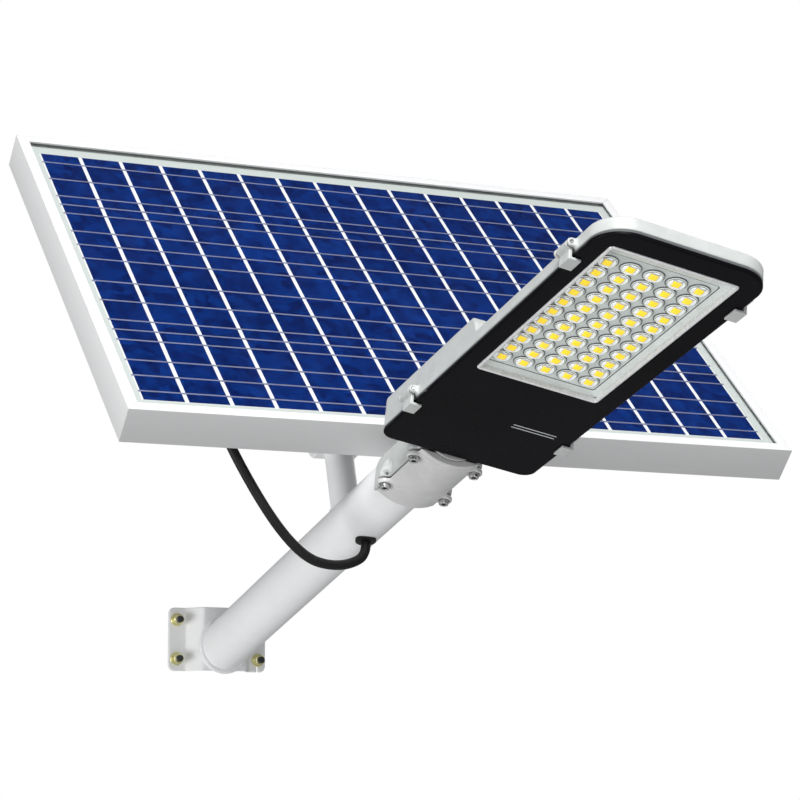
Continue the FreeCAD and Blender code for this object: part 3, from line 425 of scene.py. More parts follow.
def circuit(name, mask, trace):
    """Solder mask over copper traces and pads."""
    look = Look(name, HEAD)
    brick = look.add("ShaderNodeTexBrick", offset=0.35, squash=1.4)
    look.put(brick.inputs["Vector"], look.at)
    for key, value in (("Scale", 95.0), ("Mortar Size", 0.05), ("Brick Width", 0.7),
                       ("Row Height", 0.3)):
        brick.inputs[key].default_value = value
    colour = look.mix(look.math("MULTIPLY", brick.outputs["Fac"], 0.8), mask, trace)
    worn = look.range(look.noise(50.0, 4.0), 0.4, 0.8, 0.0, 0.2)
    colour = look.mix(worn, colour, [c * 0.7 for c in mask])
    look.bump(brick.outputs["Fac"], 0.00003)
    return look.finish(colour, look.range(look.noise(300.0, 3.0), 0.3, 0.7, 0.28, 0.4))


def printed(name, base):
    """Ink with a fine grain."""
    look = Look(name, HEAD)
    grain = look.noise(1800.0, 3.0, 0.7)
    colour = look.mix(look.range(grain, 0.3, 0.7), base, [c * 0.8 for c in base])
    look.bump(grain, 0.00001)
    return look.finish(colour, look.range(grain, 0.3, 0.7, 0.35, 0.5), 0.3)


WHITE = (0.90, 0.905, 0.91)
white_arm = powder_coat("white_paint_arm", WHITE, ARM)
white_row = powder_coat("white_paint_bracket", WHITE, None)
# The X rails and the side rails are lit and shaded copies of one paint: painted shade makes the X rails
# darker.
frame_along = {"X": extruded("frame_silver_x", PANEL, "X", 0.60),
               "Y": extruded("frame_silver_v", PANEL, "Y", 0.80)}
cells_blue = silicon("solar_cell", PANEL)
solar_glass = thin_glass("solar_glass", PANEL, (0.985, 0.99, 0.99), 0.004, 0.15, 0.003)
window_glass = thin_glass("window_glass", HEAD, (0.985, 0.99, 0.99), 0.006, 0.25, 0.006)
backsheet = two_tone_sheet("backsheet", PANEL)
ribbon = plated("cell_ribbon", (0.58, 0.60, 0.84), 0.5, PANEL)
cast_grey = casting("cast_grey", HEAD, (0.53, 0.55, 0.54), 0.05, 0.00003)
cast_plain = casting("cast_plain", CLAMP, (0.66, 0.66, 0.655), 0.15, 0.00006)
face_black = black_gloss("face_black")
trim = plated("bright_trim", (0.96, 0.97, 0.98), 0.20, HEAD, metal=0.25)
# Walls and floor of the tray are lit and shaded copies of one sheet's finish: the floor is painted darker as
# shade.
tray_silver = reflector("reflector", 1100.0, (0.93, 0.97, 0.95), 0.30, 0.10)
tray_floor_shaded = reflector("reflector_floor_shaded", 1500.0, (0.84, 0.89, 0.87), 0.38, 0.05)
lens_clear = lens_glass("lens_clear")
# Dark grey for the painted shade rings round the lenses.
lens_edge_shade = moulded("lens_edge_shade", (0.13, 0.13, 0.15), 0.5, HEAD, 0.00001, 2500.0)
# Painted light: the white beds under the lenses glow a little, though the lamp is off.
lens_bed_glow = moulded("lens_bed_glow", (0.92, 0.94, 0.93), 0.4, HEAD, 0.00001, 2500.0,
                   Emission_Color=(0.95, 0.98, 1.0, 1.0), Emission_Strength=0.35)
amber = phosphor("led_phosphor")
package = moulded("led_package", (0.90, 0.90, 0.88), 0.35, HEAD, 0.00001, 2500.0)
stainless = plated("stainless", (0.68, 0.68, 0.69), 0.26)
steel = plated("plain_steel", (0.50, 0.50, 0.51), 0.34)
zinc = plated("yellow_zinc", (0.90, 0.84, 0.46), 0.32, None,
              (((0.70, 0.84, 0.50), 0.50, 0.7), ((0.90, 0.66, 0.44), 0.64, 0.78)), 320.0)
galvanised = spangled("galvanised", PANEL)
black_plastic = moulded("black_plastic", (0.020, 0.020, 0.021), 0.42)
black_rubber = moulded("black_rubber", (0.006, 0.006, 0.0065), 0.46, None, 0.00004, 900.0, 0.008, 0.25)
seal_grey = moulded("seal_grey", (0.10, 0.105, 0.11), 0.6, HEAD)
sleeve = moulded("battery_sleeve", (0.03, 0.12, 0.42), 0.28, HEAD, 0.00001)
board_green = circuit("board_green", (0.015, 0.14, 0.05), (0.04, 0.26, 0.10))
board_white = circuit("board_white", (0.74, 0.76, 0.74), (0.60, 0.62, 0.58))
print_silver = printed("print_silver", (0.74, 0.76, 0.77))

# ---------------------------------------------------------------- mesh helpers


def paint(look, *nodes):
    """Give CAD nodes that are shown as they are their material."""
    for name in nodes:
        node = frame["nodes"][name]
        if not node.material_slots:
            node.data.materials.append(look)
        for material_slot in node.material_slots:
            material_slot.material = look


def finish_piece(name, mesh, body, nodes, looks, sharp=None):
    """Make a mesh into a smooth-shaded piece on its body, in place of the given nodes."""
    for look in looks:
        mesh.materials.append(look)
    mesh.polygons.foreach_set("use_smooth", [True] * len(mesh.polygons))
    if sharp is not None:
        mesh.set_sharp_from_angle(angle=math.radians(sharp))
    piece = bpy.data.objects.new(name, mesh)
    scene.collection.objects.link(piece)
    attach(piece, body)
    if nodes:
        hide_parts(*nodes)
    return piece


class Shape:
    """Rings of points in one space, lofted into closed meshes."""

    def __init__(self, space):
        self.space = space
        self.verts, self.faces, self.slots = [], [], []

    def loft(self, rings, closed=False, slot=0, ends=True):
        count = len(rings[0])
        base = len(self.verts)
        for ring in rings:
            self.verts.extend(ring)
        pairs = list(zip(range(len(rings) - 1), range(1, len(rings))))
        if closed:
            pairs.append((len(rings) - 1, 0))
        for a, b in pairs:
            for i in range(count):
                j = (i + 1) % count
                self.faces.append((base + a * count + i, base + a * count + j, base + b * count + j,
                                   base + b * count + i))
                self.slots.append(slot)
        if ends and not closed:
            self.faces.append(tuple(base + i for i in reversed(range(count))))
            last = base + (len(rings) - 1) * count
            self.faces.append(tuple(last + i for i in range(count)))
            self.slots += [slot, slot]

    def make(self, name, body, slot, nodes=(), looks=(), sharp=35.0):
        mesh = bpy.data.meshes.new(name)
        mesh.from_pydata([tuple(v) for v in self.verts], [], self.faces)
        mesh.polygons.foreach_set("material_index", self.slots)
        work = bmesh.new()
        work.from_mesh(mesh)
        bmesh.ops.remove_doubles(work, verts=work.verts, dist=1e-4)
        bmesh.ops.recalc_face_normals(work, faces=work.faces)
        work.to_mesh(mesh)
        work.free()
        mesh.transform(self.space)
        return finish_piece(name, mesh, body, nodes, looks, sharp)


def arc(cx, cy, radius, start, end, steps):
    """Points on an arc, from start to end degrees."""
    angles = [math.radians(start + (end - start) * i / steps) for i in range(steps + 1)]
    return [(cx + radius * math.cos(a), cy + radius * math.sin(a)) for a in angles]


def loop(x0, x1, y0, y1, radius, z, steps=8, near=None):
    """Rounded rectangle between the given edges; near is the radius of the corners at y1."""
    near = radius if near is None else near
    points = []
    for cx, cy, r, start in ((x1 - near, y1 - near, near, 0), (x0 + near, y1 - near, near, 90),
                             (x0 + radius, y0 + radius, radius, 180),
                             (x1 - radius, y0 + radius, radius, 270)):
        points += [(px, py, z) for px, py in arc(cx, cy, r, start, start + 90, steps)]
    return points


def grown(edges, radius, grow, z, steps=8, near=None):
    """The same rounded rectangle, moved out all round by grow."""
    x0, x1, y0, y1 = edges
    near = radius if near is None else near
    return loop(x0 - grow, x1 + grow, y0 - grow, y1 + grow, max(radius + grow, 0.2), z, steps,
                max(near + grow, 0.2))


def round_ring(radius, z, flats=None, count=48):
    """Circle, or a hexagon of that size across flats cut off at the radius."""
    points = []
    for i in range(count):
        angle = 2 * math.pi * i / count
        r = radius
        if flats is not None:
            r = min(radius, flats / 2 / math.cos(angle % (math.pi / 3) - math.pi / 6))
        points.append((r * math.cos(angle), r * math.sin(angle), z))
    return points


def along(rings, base, direction, turn=0.0):
    """Move rings built about +Z so that they start at base and rise along direction."""
    aim = Vector((0, 0, 1)).rotation_difference(Vector(direction)).to_matrix()
    aim = aim @ Matrix.Rotation(turn, 3, "Z")
    return [[tuple(aim @ Vector(p) + Vector(base)) for p in ring] for ring in rings]


def hex_rings(flats, height):
    """Hexagonal prism whose corners are turned off by a 30 degree cone."""
    face, corner = flats / 2 * 0.97, flats / math.sqrt(3)
    bevel = (corner - face) * 0.6
    shares = (0.0, 0.25, 0.5, 0.75, 1.0)
    rings = [round_ring(face + (corner - face) * share, bevel * share, flats) for share in shares]
    return rings + [round_ring(face + (corner - face) * share, height - bevel * share, flats)
                    for share in reversed(shares)]


def nut(shape, base, direction, flats, height, bore, turn=0.0):
    """Hexagonal nut with a countersunk bore."""
    rings = hex_rings(flats, height)
    rings += [round_ring(bore * 1.18, height), round_ring(bore, height - bore * 0.15),
              round_ring(bore, bore * 0.15), round_ring(bore * 1.18, 0)]
    shape.loft(along(rings, base, direction, turn), closed=True)


def washer(shape, base, direction, outer, inner, height):
    """Flat washer with eased outer edges."""
    edge = height * 0.25
    rings = [round_ring(inner, 0), round_ring(outer - edge, 0), round_ring(outer, edge),
             round_ring(outer, height - edge), round_ring(outer - edge, height), round_ring(inner, height)]
    shape.loft(along(rings, base, direction), closed=True)


def thread(shape, base, direction, radius, length, pitch):
    """Threaded rod with a true helical groove and a chamfered tip."""
    per_turn, count = 8, 32
    rings = []
    total = int(length / pitch * per_turn)
    for k in range(total + 1):
        z = length * k / total
        tip = min(1.0, (length - z) / pitch + 0.55)
        ring = []
        for i in range(count):
            angle = 2 * math.pi * i / count
            phase = (z / pitch - i / count) % 1.0
            r = (radius - 0.6 * pitch * (1 - abs(2 * phase - 1)) * 0.9) * tip
            ring.append((r * math.cos(angle), r * math.sin(angle), z))
        rings.append(ring)
    shape.loft(along(rings, base, direction))


def shank(shape, base, direction, radius, length):
    """Plain rod with chamfered ends."""
    chamfer = 0.4
    rings = [round_ring(radius - chamfer, 0), round_ring(radius, chamfer),
             round_ring(radius, length - chamfer), round_ring(radius - chamfer, length)]
    shape.loft(along(rings, base, direction))


def bolt_head(shape, base, direction, flats, height, turn=0.0):
    """Hexagonal head with a turned washer face and a dished top."""
    rings = [round_ring(flats * 0.47, 0), round_ring(flats * 0.47, 0.3)]
    rings += [[(x, y, z + 0.3) for x, y, z in ring] for ring in hex_rings(flats, height - 0.3)]
    rings += [round_ring(flats * 0.40, height), round_ring(flats * 0.36, height - 0.35)]
    shape.loft(along(rings, base, direction, turn))


def soften(node, space, voxel, rounds, look, body, keep=0.5):
    """Rounded, cast or formed version of a CAD node, remeshed in line with its own axes."""
    mesh = frame["nodes"][node].data.copy()
    mesh.materials.clear()
    mesh.transform(space.inverted())
    work = bmesh.new()
    work.from_mesh(mesh)
    bmesh.ops.remove_doubles(work, verts=work.verts, dist=1e-3)
    work.to_mesh(mesh)
    work.free()
    source = bpy.data.objects.new("working", mesh)
    scene.collection.objects.link(source)
    remesh = source.modifiers.new("remesh", "REMESH")
    remesh.mode = "VOXEL"
    remesh.voxel_size = voxel
    smooth = source.modifiers.new("smooth", "SMOOTH")
    smooth.factor, smooth.iterations = 0.5, rounds
    thin = source.modifiers.new("thin", "DECIMATE")
    thin.ratio = keep
    depsgraph = bpy.context.evaluated_depsgraph_get()
    result = bpy.data.meshes.new_from_object(source.evaluated_get(depsgraph), depsgraph=depsgraph)
    bpy.data.objects.remove(source)
    result.transform(space)
    result.name = node + "_form"
    finish_piece(node + "_form", result, body, [node], [look])


def bead(name, path, radius, space, look, body, slot, node):
    """Weld bead along a closed path, laid down in overlapping ripples."""
    count, sides = len(path), 10
    length = sum((Vector(path[i]) - Vector(path[i - 1])).length for i in range(count))
    ripple_length = 2.1
    ripples = int(length / ripple_length)
    side = None
    rings = []
    for i, point in enumerate(path):
        here, ahead = Vector(point), Vector(path[(i + 1) % count])
        tangent = (ahead - Vector(path[i - 1])).normalized()
        phase = (i / count * ripples) % 1.0
        r = radius * (0.82 + 0.26 * math.sqrt(phase)) * rng.uniform(0.97, 1.03)
        if side is None:
            side = tangent.orthogonal().normalized()
        side = (side - tangent * side.dot(tangent)).normalized()
        other = tangent.cross(side)
        rings.append([tuple(here + side * (r * math.cos(2 * math.pi * k / sides))
                            + other * (r * math.sin(2 * math.pi * k / sides))) for k in range(sides)])
    shape = Shape(space)
    shape.loft(rings, closed=True)
    shape.make(name, body, slot, [node], [look], None)


# ---------------------------------------------------------------- panel cable

CABLE_D = 0.009
ROUTE = [(-0.147, -0.3433, 0.2398), (-0.147, -0.3698, 0.2155), (-0.147, -0.388, 0.168),
         (-0.138, -0.396, 0.142), (-0.114, -0.398, 0.102), (-0.091, -0.399, 0.0715),
         (-0.068, -0.3985, 0.052), (-0.046, -0.396, 0.047), (-0.024, -0.3905, 0.049),
         (-0.0042, -0.3834, 0.0583), (-0.0028, -0.3798, 0.0707)]
cable_curve = bpy.data.curves.new("panel_cable_sheath", "CURVE")
cable_curve.dimensions = "3D"
cable_curve.resolution_u = 24
cable_curve.bevel_depth = CABLE_D / 2
cable_curve.bevel_resolution = 6
spline = cable_curve.splines.new("NURBS")
spline.points.add(len(ROUTE) - 1)
for point, place in zip(spline.points, ROUTE):
    point.co = (*place, 1.0)
spline.order_u = 3
spline.use_endpoint_u = True
cable_curve.materials.append(black_rubber)
cable = bpy.data.objects.new("panel_cable_sheath", cable_curve)
scene.collection.objects.link(cable)
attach(cable, "panel")
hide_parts("panel_cable")

# Cable gland on the junction box, with a ribbed bend relief over the cable
JUNCTION_X, JUNCTION_V = -224.2, -45.0
gland = Shape(PANEL)
gland_at = (JUNCTION_X, JUNCTION_V - 39.0, -22.0)
gland.loft(along(hex_rings(19.0, 8.0), gland_at, (0, -1, 0)))
dome = [round_ring(8.4, 8), round_ring(8.7, 8.6), round_ring(8.7, 12.0), round_ring(8.2, 14.5),
        round_ring(7.2, 16.6), round_ring(6.2, 17.2)]
gland.loft(along(dome, gland_at, (0, -1, 0)))
relief = [round_ring(6.3, 16.5)]
RIBS, RIB_PITCH, RELIEF_AT = 7, 3.4, 17.2
for i in range(RIBS):
    z = RELIEF_AT + i * RIB_PITCH
    r = 6.9 - 0.30 * i
    relief += [round_ring(r - 0.7, z), round_ring(r, z + 0.4), round_ring(r, z + 1.7),
               round_ring(r - 0.8, z + 2.1)]
relief_end = RELIEF_AT + RIBS * RIB_PITCH
relief += [round_ring(4.9, relief_end), round_ring(4.62, relief_end + 0.4)]
gland.loft(along(relief, gland_at, (0, -1, 0)))
gland_piece = gland.make("junction_gland_relief", "panel", "black_plastic", ["junction_gland"],
                         [black_plastic], 40)

# ---------------------------------------------------------------- solar panel

HALF_W, HALF_H, DEPTH, LIP, WALL, BACK_LIP, SLOT = 335.0, 235.0, 35.0, 11.0, 2.0, 22.0, 6.7


def rounded_profile(corners, radius, steps=4):
    """Closed outline with every corner rounded by up to the given radius."""
    points = []
    count = len(corners)
    for i, corner in enumerate(corners):
        here = Vector(corner)
        before, after = Vector(corners[i - 1]) - here, Vector(corners[(i + 1) % count]) - here
        cut = min(radius, before.length * 0.45, after.length * 0.45)
        start, end = here + before.normalized() * cut, here + after.normalized() * cut
        for k in range(steps + 1):
            t = k / steps
            points.append(start * (1 - t) ** 2 + here * (2 * t * (1 - t)) + end * t ** 2)
    return points


def rail(shape, half, turn, shift):
    """Mitred frame rail: v is in from its outer face, n is height below the lip."""
    gap = 0.12
    shelf = -SLOT - 1.6
    corners = [(0, 0), (LIP, 0), (LIP, -WALL), (WALL, -WALL), (WALL, -SLOT), (LIP, -SLOT), (LIP, shelf),
               (WALL, shelf), (WALL, WALL - DEPTH), (BACK_LIP, WALL - DEPTH), (BACK_LIP, -DEPTH),
               (0, -DEPTH)]
    outline = rounded_profile(corners, 0.45, 3)
    steps = 12
    rings = []
    for k in range(steps + 1):
        share = 2 * k / steps - 1
        rings.append([(share * (half - v - gap), v, n) for v, n in outline])
    spin = Matrix.Rotation(math.radians(turn), 3, "Z")
    rings = [[tuple(spin @ Vector(p) + Vector(shift)) for p in ring] for ring in rings]
    shape.loft(rings)


for side, half, turn, shift, way in (("bottom", HALF_W, 0, (0, -HALF_H, 0), "X"),
                                     ("right", HALF_H, 90, (HALF_W, 0, 0), "Y"),
                                     ("top", HALF_W, 180, (0, HALF_H, 0), "X"),
                                     ("left", HALF_H, 270, (-HALF_W, 0, 0), "Y")):
    bar = Shape(PANEL)
    rail(bar, half, turn, shift)
    bar.make("frame_rail_%s_extrusion" % side, "panel", "frame_silver", ["frame_rail_" + side],
             [frame_along[way]], 30)

paint(solar_glass, "panel_glass")
paint(cells_blue, "cell_strings")
paint(ribbon, "cell_ribbons")
paint(backsheet, "panel_backsheet")
paint(galvanised, "frame_corner_keys")

# Back rails: roll-formed channels that lie on the frame's back flange
WEB = WALL - DEPTH
BACK_RAILS = {"left": -147.2, "right": -7.2}
for side, px in BACK_RAILS.items():
    corners = [(px - 15, 20), (px - 13, 20), (px - 13, 2), (px + 13, 2), (px + 13, 20), (px + 15, 20),
               (px + 15, 0), (px - 15, 0)]
    outline = rounded_profile(corners, 2.2, 4)
    channel = Shape(PANEL)
    channel.loft([[(x, v, n + WEB) for x, n in outline] for v in (-232.4, -232.0, 0.0, 232.0, 232.4)])
    channel.make("back_rail_%s_channel" % side, "panel", "galvanised", ["back_rail_" + side],
                 [galvanised], 30)

small, large = Shape(PANEL), Shape(PANEL)
for px in BACK_RAILS.values():
    for pv in (-222.0, 222.0):
        washer(small, (px, pv, -DEPTH), (0, 0, -1), 6.4, 3.0, 1.2)
        bolt_head(small, (px, pv, -DEPTH - 1.2), (0, 0, -1), 10.0, 3.0, turn=rng.uniform(0, 1))
        thread(small, (px, pv, -DEPTH), (0, 0, 1), 3.0, 12.0, 1.0)
        nut(small, (px, pv, WEB + 2), (0, 0, 1), 10.0, 4.5, 3.0, turn=rng.uniform(0, 1))
    for pv in (-142.0, -92.0):
        washer(large, (px, pv, WEB - 4), (0, 0, -1), 7.9, 4.0, 1.5)
        bolt_head(large, (px, pv, WEB - 5.5), (0, 0, -1), 13.0, 5.0, turn=rng.uniform(0, 1))
        thread(large, (px, pv, WEB - 4), (0, 0, 1), 4.0, 14.0, 1.25)
        nut(large, (px, pv, WEB + 2), (0, 0, 1), 13.0, 6.0, 4.0, turn=rng.uniform(0, 1))
small.make("rail_bolts_m6", "panel", "stainless", ["rail_bolts"], [stainless])
large.make("hinge_plate_bolts_m8", "panel", "stainless", ["hinge_plate_bolts"], [stainless])
soften("hinge_plate", PANEL, 0.8, 3, galvanised, "panel")

# Junction box: tub, lid with a raised field, and four lid screws
junction = Shape(PANEL)
back_n = -SLOT
tub, lid = [(JUNCTION_X - half_w, JUNCTION_X + half_w, JUNCTION_V - half_h, JUNCTION_V + half_h)
            for half_w, half_h in ((46, 39), (48, 41))]
junction.loft([grown(tub, 6, 1.5, back_n), grown(tub, 6, 1.5, back_n - 1.6), grown(tub, 6, 0.0, back_n - 2.6),
               grown(tub, 6, -0.8, back_n - 25.9)])
junction.make("junction_box_tub", "panel", "black_plastic", ["junction_box"], [black_plastic])
cover = Shape(PANEL)
top_n = back_n - 26.0
cover.loft([grown(lid, 8, -1.0, top_n), grown(lid, 8, 0, top_n - 0.8), grown(lid, 8, 0, top_n - 3.0),
            grown(lid, 8, -0.4, top_n - 3.7), grown(lid, 8, -1.2, top_n - 4.0),
            grown(lid, 8, -11.5, top_n - 4.0), grown(lid, 8, -12.4, top_n - 4.4),
            grown(lid, 8, -13.0, top_n - 5.3), grown(lid, 8, -13.8, top_n - 5.5),
            grown(lid, 8, -16.0, top_n - 5.5)])
for i in (-1, 1):
    for j in (-1, 1):
        at = (JUNCTION_X + i * 41.5, JUNCTION_V + j * 34.5, top_n - 3.8)
        screw = [round_ring(3.4, 0), round_ring(3.4, 0.6), round_ring(2.9, 1.25), round_ring(2.1, 1.5),
                 round_ring(1.5, 1.5), round_ring(1.2, 0.8)]
        cover.loft(along(screw, at, (0, 0, -1)), slot=1)
cover.make("junction_lid_cover", "panel", "black_plastic", ["junction_lid"], [black_plastic, stainless])

# ---------------------------------------------------------------- bracket, arm and strut

soften("wall_bracket", ROW, 0.6, 5, white_row, "arm")
paint(white_arm, "arm_tube", "strut_tube")
soften("strut_head", ARM, 0.7, 3, white_arm, "arm")
soften("cable_grommet", ARM, 0.35, 4, black_rubber, "arm")

ARM_R, STRUT_R, STRUT_S = 25.0, 13.5, 323.2
foot, joint_line = [], []
BEAD_POINTS = 360
for i in range(BEAD_POINTS):
    angle = 2 * math.pi * i / BEAD_POINTS
    cx, cz = (ARM_R + 0.8) * math.cos(angle), (ARM_R + 0.8) * math.sin(angle)
    s = (cz * math.sin(ARM_TILT) + 0.5) / math.cos(ARM_TILT)
    foot.append((cx, -s, cz))
    bx, by = (STRUT_R + 0.3) * math.cos(angle), (STRUT_R + 0.3) * math.sin(angle)
    joint_line.append((bx, by - STRUT_S, math.sqrt(ARM_R ** 2 - bx ** 2) + 0.3))
bead("arm_weld_bead", foot, 2.7, ARM, white_arm, "arm", "white_paint", "arm_weld")
bead("strut_weld_bead", joint_line, 1.3, ARM, white_arm, "arm", "white_paint", "strut_weld")

studs, washers, nuts = Shape(ROW), Shape(ROW), Shape(ROW)
for px in (-45.0, 45.0):
    for pz in (-20.0, 20.0):
        shank(studs, (px, 12, pz), (0, -1, 0), 3.0, 13)
        thread(studs, (px, 0, pz), (0, -1, 0), 3.0, 15.2, 1.0)
        cap = [round_ring(2.9, 12.6), round_ring(3.3, 12.8), round_ring(3.3, 15.2), round_ring(3.0, 15.8),
               round_ring(2.4, 16.0)]
        studs.loft(along(cap, (px, 0, pz), (0, -1, 0)), slot=1)
        washer(washers, (px, -3.0, pz), (0, -1, 0), 6.8, 3.1, 1.5)
        split = [round_ring(3.1, 1.5), round_ring(5.1, 1.5), round_ring(5.3, 1.8), round_ring(5.3, 2.6),
                 round_ring(5.1, 2.9), round_ring(3.1, 2.9)]
        washers.loft(along(split, (px, -3.0, pz), (0, -1, 0)), closed=True)
        nut(nuts, (px, -5.9, pz), (0, -1, 0), 10.0, 5.0, 3.0, turn=rng.uniform(0, 1))
studs.make("anchor_studs_threaded", "arm", "plain_steel", ["anchor_studs"], [steel, black_plastic], 40)
washers.make("anchor_washers_turned", "arm", "yellow_zinc", ["anchor_washers"], [zinc])
nuts.make("anchor_nuts_chamfered", "arm", "yellow_zinc", ["anchor_nuts"], [zinc])


def cross_bolt(kind, body, y, z, half, radius, pitch, tail, disc, flats, heights, turns):
    """Bolt and nut from side to side through the fork; disc is the washers' radius and thickness."""
    outer, thick = disc
    bolt, end = Shape(ARM), Shape(ARM)
    shank(bolt, (-half, y, z), (1, 0, 0), radius, 2 * half)
    thread(bolt, (-half, y, z), (-1, 0, 0), radius, tail, pitch)
    washer(bolt, (half, y, z), (1, 0, 0), outer, radius, thick)
    bolt_head(bolt, (half + thick, y, z), (1, 0, 0), flats, heights[0], turns[0])
    washer(end, (-half, y, z), (-1, 0, 0), outer, radius, thick)
    nut(end, (-half - thick, y, z), (-1, 0, 0), flats, heights[1], radius, turns[1])
    size = "m%d" % (2 * radius)
    bolt.make("%s_bolt_%s" % (kind, size), body, "stainless", [kind + "_bolt"], [stainless])
    end.make("%s_nut_%s" % (kind, size), body, "stainless", [kind + "_nut"], [stainless])


PIN_UP, OUTSIDE, LOCK_R, LOCK_TURN = 101.1, 21.0, 19.0, math.radians(30.0)
lock_angle = ARM_TILT + PANEL_TILT + LOCK_TURN
lock_y, lock_z = -STRUT_S + LOCK_R * math.cos(lock_angle), PIN_UP + LOCK_R * math.sin(lock_angle)
cross_bolt("tilt", "arm", -STRUT_S, PIN_UP, OUTSIDE, 4.0, 1.25, 9.0, (8.0, 1.6), 13.0, (5.3, 6.5), (0.3, 0.2))
cross_bolt("lock", "panel", lock_y, lock_z, OUTSIDE + 0.4, 3.0, 1.0, 7.0, (5.8, 1.2), 10.0, (4.0, 5.0),
           (0.5, 0.1))

# ---------------------------------------------------------------- lamp head

soften("lamp_housing", HEAD, 1.1, 3, cast_grey, "head", keep=0.45)
soften("clamp_cap", CLAMP, 0.6, 3, cast_plain, "head")
for side in ("left", "right"):
    for place in ("rear", "front"):
        spot = side + "_" + place
        soften("face_clip_" + spot, HEAD, 0.35, 3, cast_grey, "clip_" + spot)
paint(stainless, "clip_pins")

HEAD_EDGES = (-71.0, 71.0, -955.0, -553.0)
WINDOW = (-56.2, 52.8, -934.0, -709.0)
FACE_Z, FACE_BACK = -11.0, -8.0

plate = Shape(HEAD)
outer = [(0.0, FACE_BACK), (0.0, -9.4), (-0.12, -10.1), (-0.5, -10.65), (-1.1, -10.93),
         (-1.7, FACE_Z), (-2.6, FACE_Z)]
inner = [(2.0, FACE_Z), (0.5, FACE_Z), (0.12, FACE_Z + 0.15), (0.0, FACE_Z + 0.5), (0.0, FACE_BACK)]
rings = [grown(HEAD_EDGES, 28.0, g, z, 16, 12.0) for g, z in outer]
rings += [grown(WINDOW, 4.0, g, z, 16) for g, z in inner]
plate.loft(rings, closed=True)
plate.make("face_plate_gloss", "head", "face_black", ["face_plate"], [face_black], 50)

bezel = Shape(HEAD)
lip = [(-0.1, FACE_BACK), (-0.1, FACE_Z)]
lip += [(-1.6 + 1.5 * px, FACE_Z - 0.75 * py) for px, py in arc(0.0, 0.0, 1.0, 0, 180, 8)]
lip += [(-3.1, FACE_Z + 0.6), (-3.1, FACE_BACK)]
bezel.loft([grown(WINDOW, 4.0, g, z, 10) for g, z in lip], closed=True)
bezel.make("window_bezel_rolled", "head", "bright_trim", ["window_bezel"], [trim], 50)
paint(window_glass, "window_pane")
paint(seal_grey, "face_gasket")
paint(board_white, "led_board")

# Tray pressed from sheet: left, right, far and near edges, height and corner radius, rim to floor
BOARD, SHEET, CREASE_SHADE_BAND, FLOOR_SLOT, CREASE_SHADE_SLOT = -3.5, 0.5, 3, 1, 2
tray = Shape(HEAD)
TRAY = [(-53.5, 50.1, -931.3, -711.7, -7.9, 3.8), (-53.2, 49.6, -930.5, -712.3, -7.7, 3.6),
        (-53.0, 48.9, -928.9, -712.9, -7.3, 3.4), (-52.4, 46.0, -916.5, -716.4, -4.6, 3.0),
        (-52.2, 45.2, -915.4, -717.1, -4.25, 2.8), (-51.9, 44.6, -914.6, -717.5, -4.1, 2.6)]
front = [loop(x0, x1, y0, y1, r, z) for x0, x1, y0, y1, z, r in TRAY]
rear = [[(x, y, z + SHEET) for x, y, z in ring] for ring in front]
tray.loft(front, ends=False)
band = len(front[0])
# Painted shade: the band of wall next to the floor takes the dark grey seal colour, for the shade along the
# crease.
tray.slots[CREASE_SHADE_BAND * band:(CREASE_SHADE_BAND + 1) * band] = [CREASE_SHADE_SLOT] * band
tray.loft(rear, ends=False)
tray.loft([front[0], rear[0]], ends=False)
for ring in (front[-1], rear[-1]):
    first = len(tray.verts)
    tray.verts.extend(ring)
    tray.faces.append(tuple(range(first, len(tray.verts))))
    tray.slots.append(FLOOR_SLOT)
tray.make("reflector_tray_formed", "head", "reflector", ["reflector_tray"],
          [tray_silver, tray_floor_shaded, seal_grey], 50)

LED_X, LED_Y, PITCH_X, PITCH_Y, COLUMNS, ROWS = -4.0, -816.0, 19.4, 17.4, 5, 11
# Two dark grey rings round each lens, at its foot and at the foot of its dome, are painted shade for the dark
# outlines that refraction gives a lens.
EDGE_SHADE_RINGS = ((0.5, 1.3, 8.3, 8.75), (1.6, 2.05, 6.85, 7.1))
lenses, chips = Shape(HEAD), Shape(HEAD)
LENS = [(8.0, 0.0), (8.3, 0.3), (8.3, 1.3), (8.05, 1.6), (7.4, 1.7), (7.05, 1.85), (6.9, 2.15)]
LENS += [(6.85 * math.cos(math.radians(a)), 2.2 + 2.2 * math.sin(math.radians(a))) for a in range(10, 90, 10)]
LENS += [(0.25, 4.4)]
for i in range(COLUMNS):
    for j in range(ROWS):
        at = (LED_X + (i - 2) * PITCH_X, LED_Y - (j - 5) * PITCH_Y, BOARD)
        lenses.loft(along([round_ring(r, z, count=32) for r, z in LENS], at, (0, 0, -1)))
        for low, high, inner, outer in EDGE_SHADE_RINGS:
            section = ((inner, low), (outer, low), (outer, high - 0.3), (outer - 0.1, high), (inner, high))
            shade_ring = [round_ring(r, z, count=32) for r, z in section]
            lenses.loft(along(shade_ring, at, (0, 0, -1)), closed=True, slot=1)
        disc = [round_ring(7.2, z, count=32) for z in (0.5, 0.72)]
        chips.loft(along(disc, at, (0, 0, -1)), slot=2)
        spin = rng.uniform(-0.06, 0.06)
        block = [loop(-half, half, -half, half, 0.3, z, 2)
                 for half, z in ((3.4, 0.0), (3.4, 0.95), (3.3, 1.05))]
        chips.loft(along(block, at, (0, 0, -1), spin))
        glow = [loop(-half, half, -half, half, corner, z, 2)
                for half, corner, z in ((2.9, 0.5, 1.0), (2.9, 0.5, 1.15), (2.1, 0.6, 1.35))]
        chips.loft(along(glow, at, (0, 0, -1), spin), slot=1)
lenses.make("led_lenses_moulded", "head", "lens_clear", ["led_lenses"], [lens_clear, lens_edge_shade], 50)
chips.make("led_chips_packaged", "head", "led_phosphor", ["led_chips"], [package, amber, lens_bed_glow])

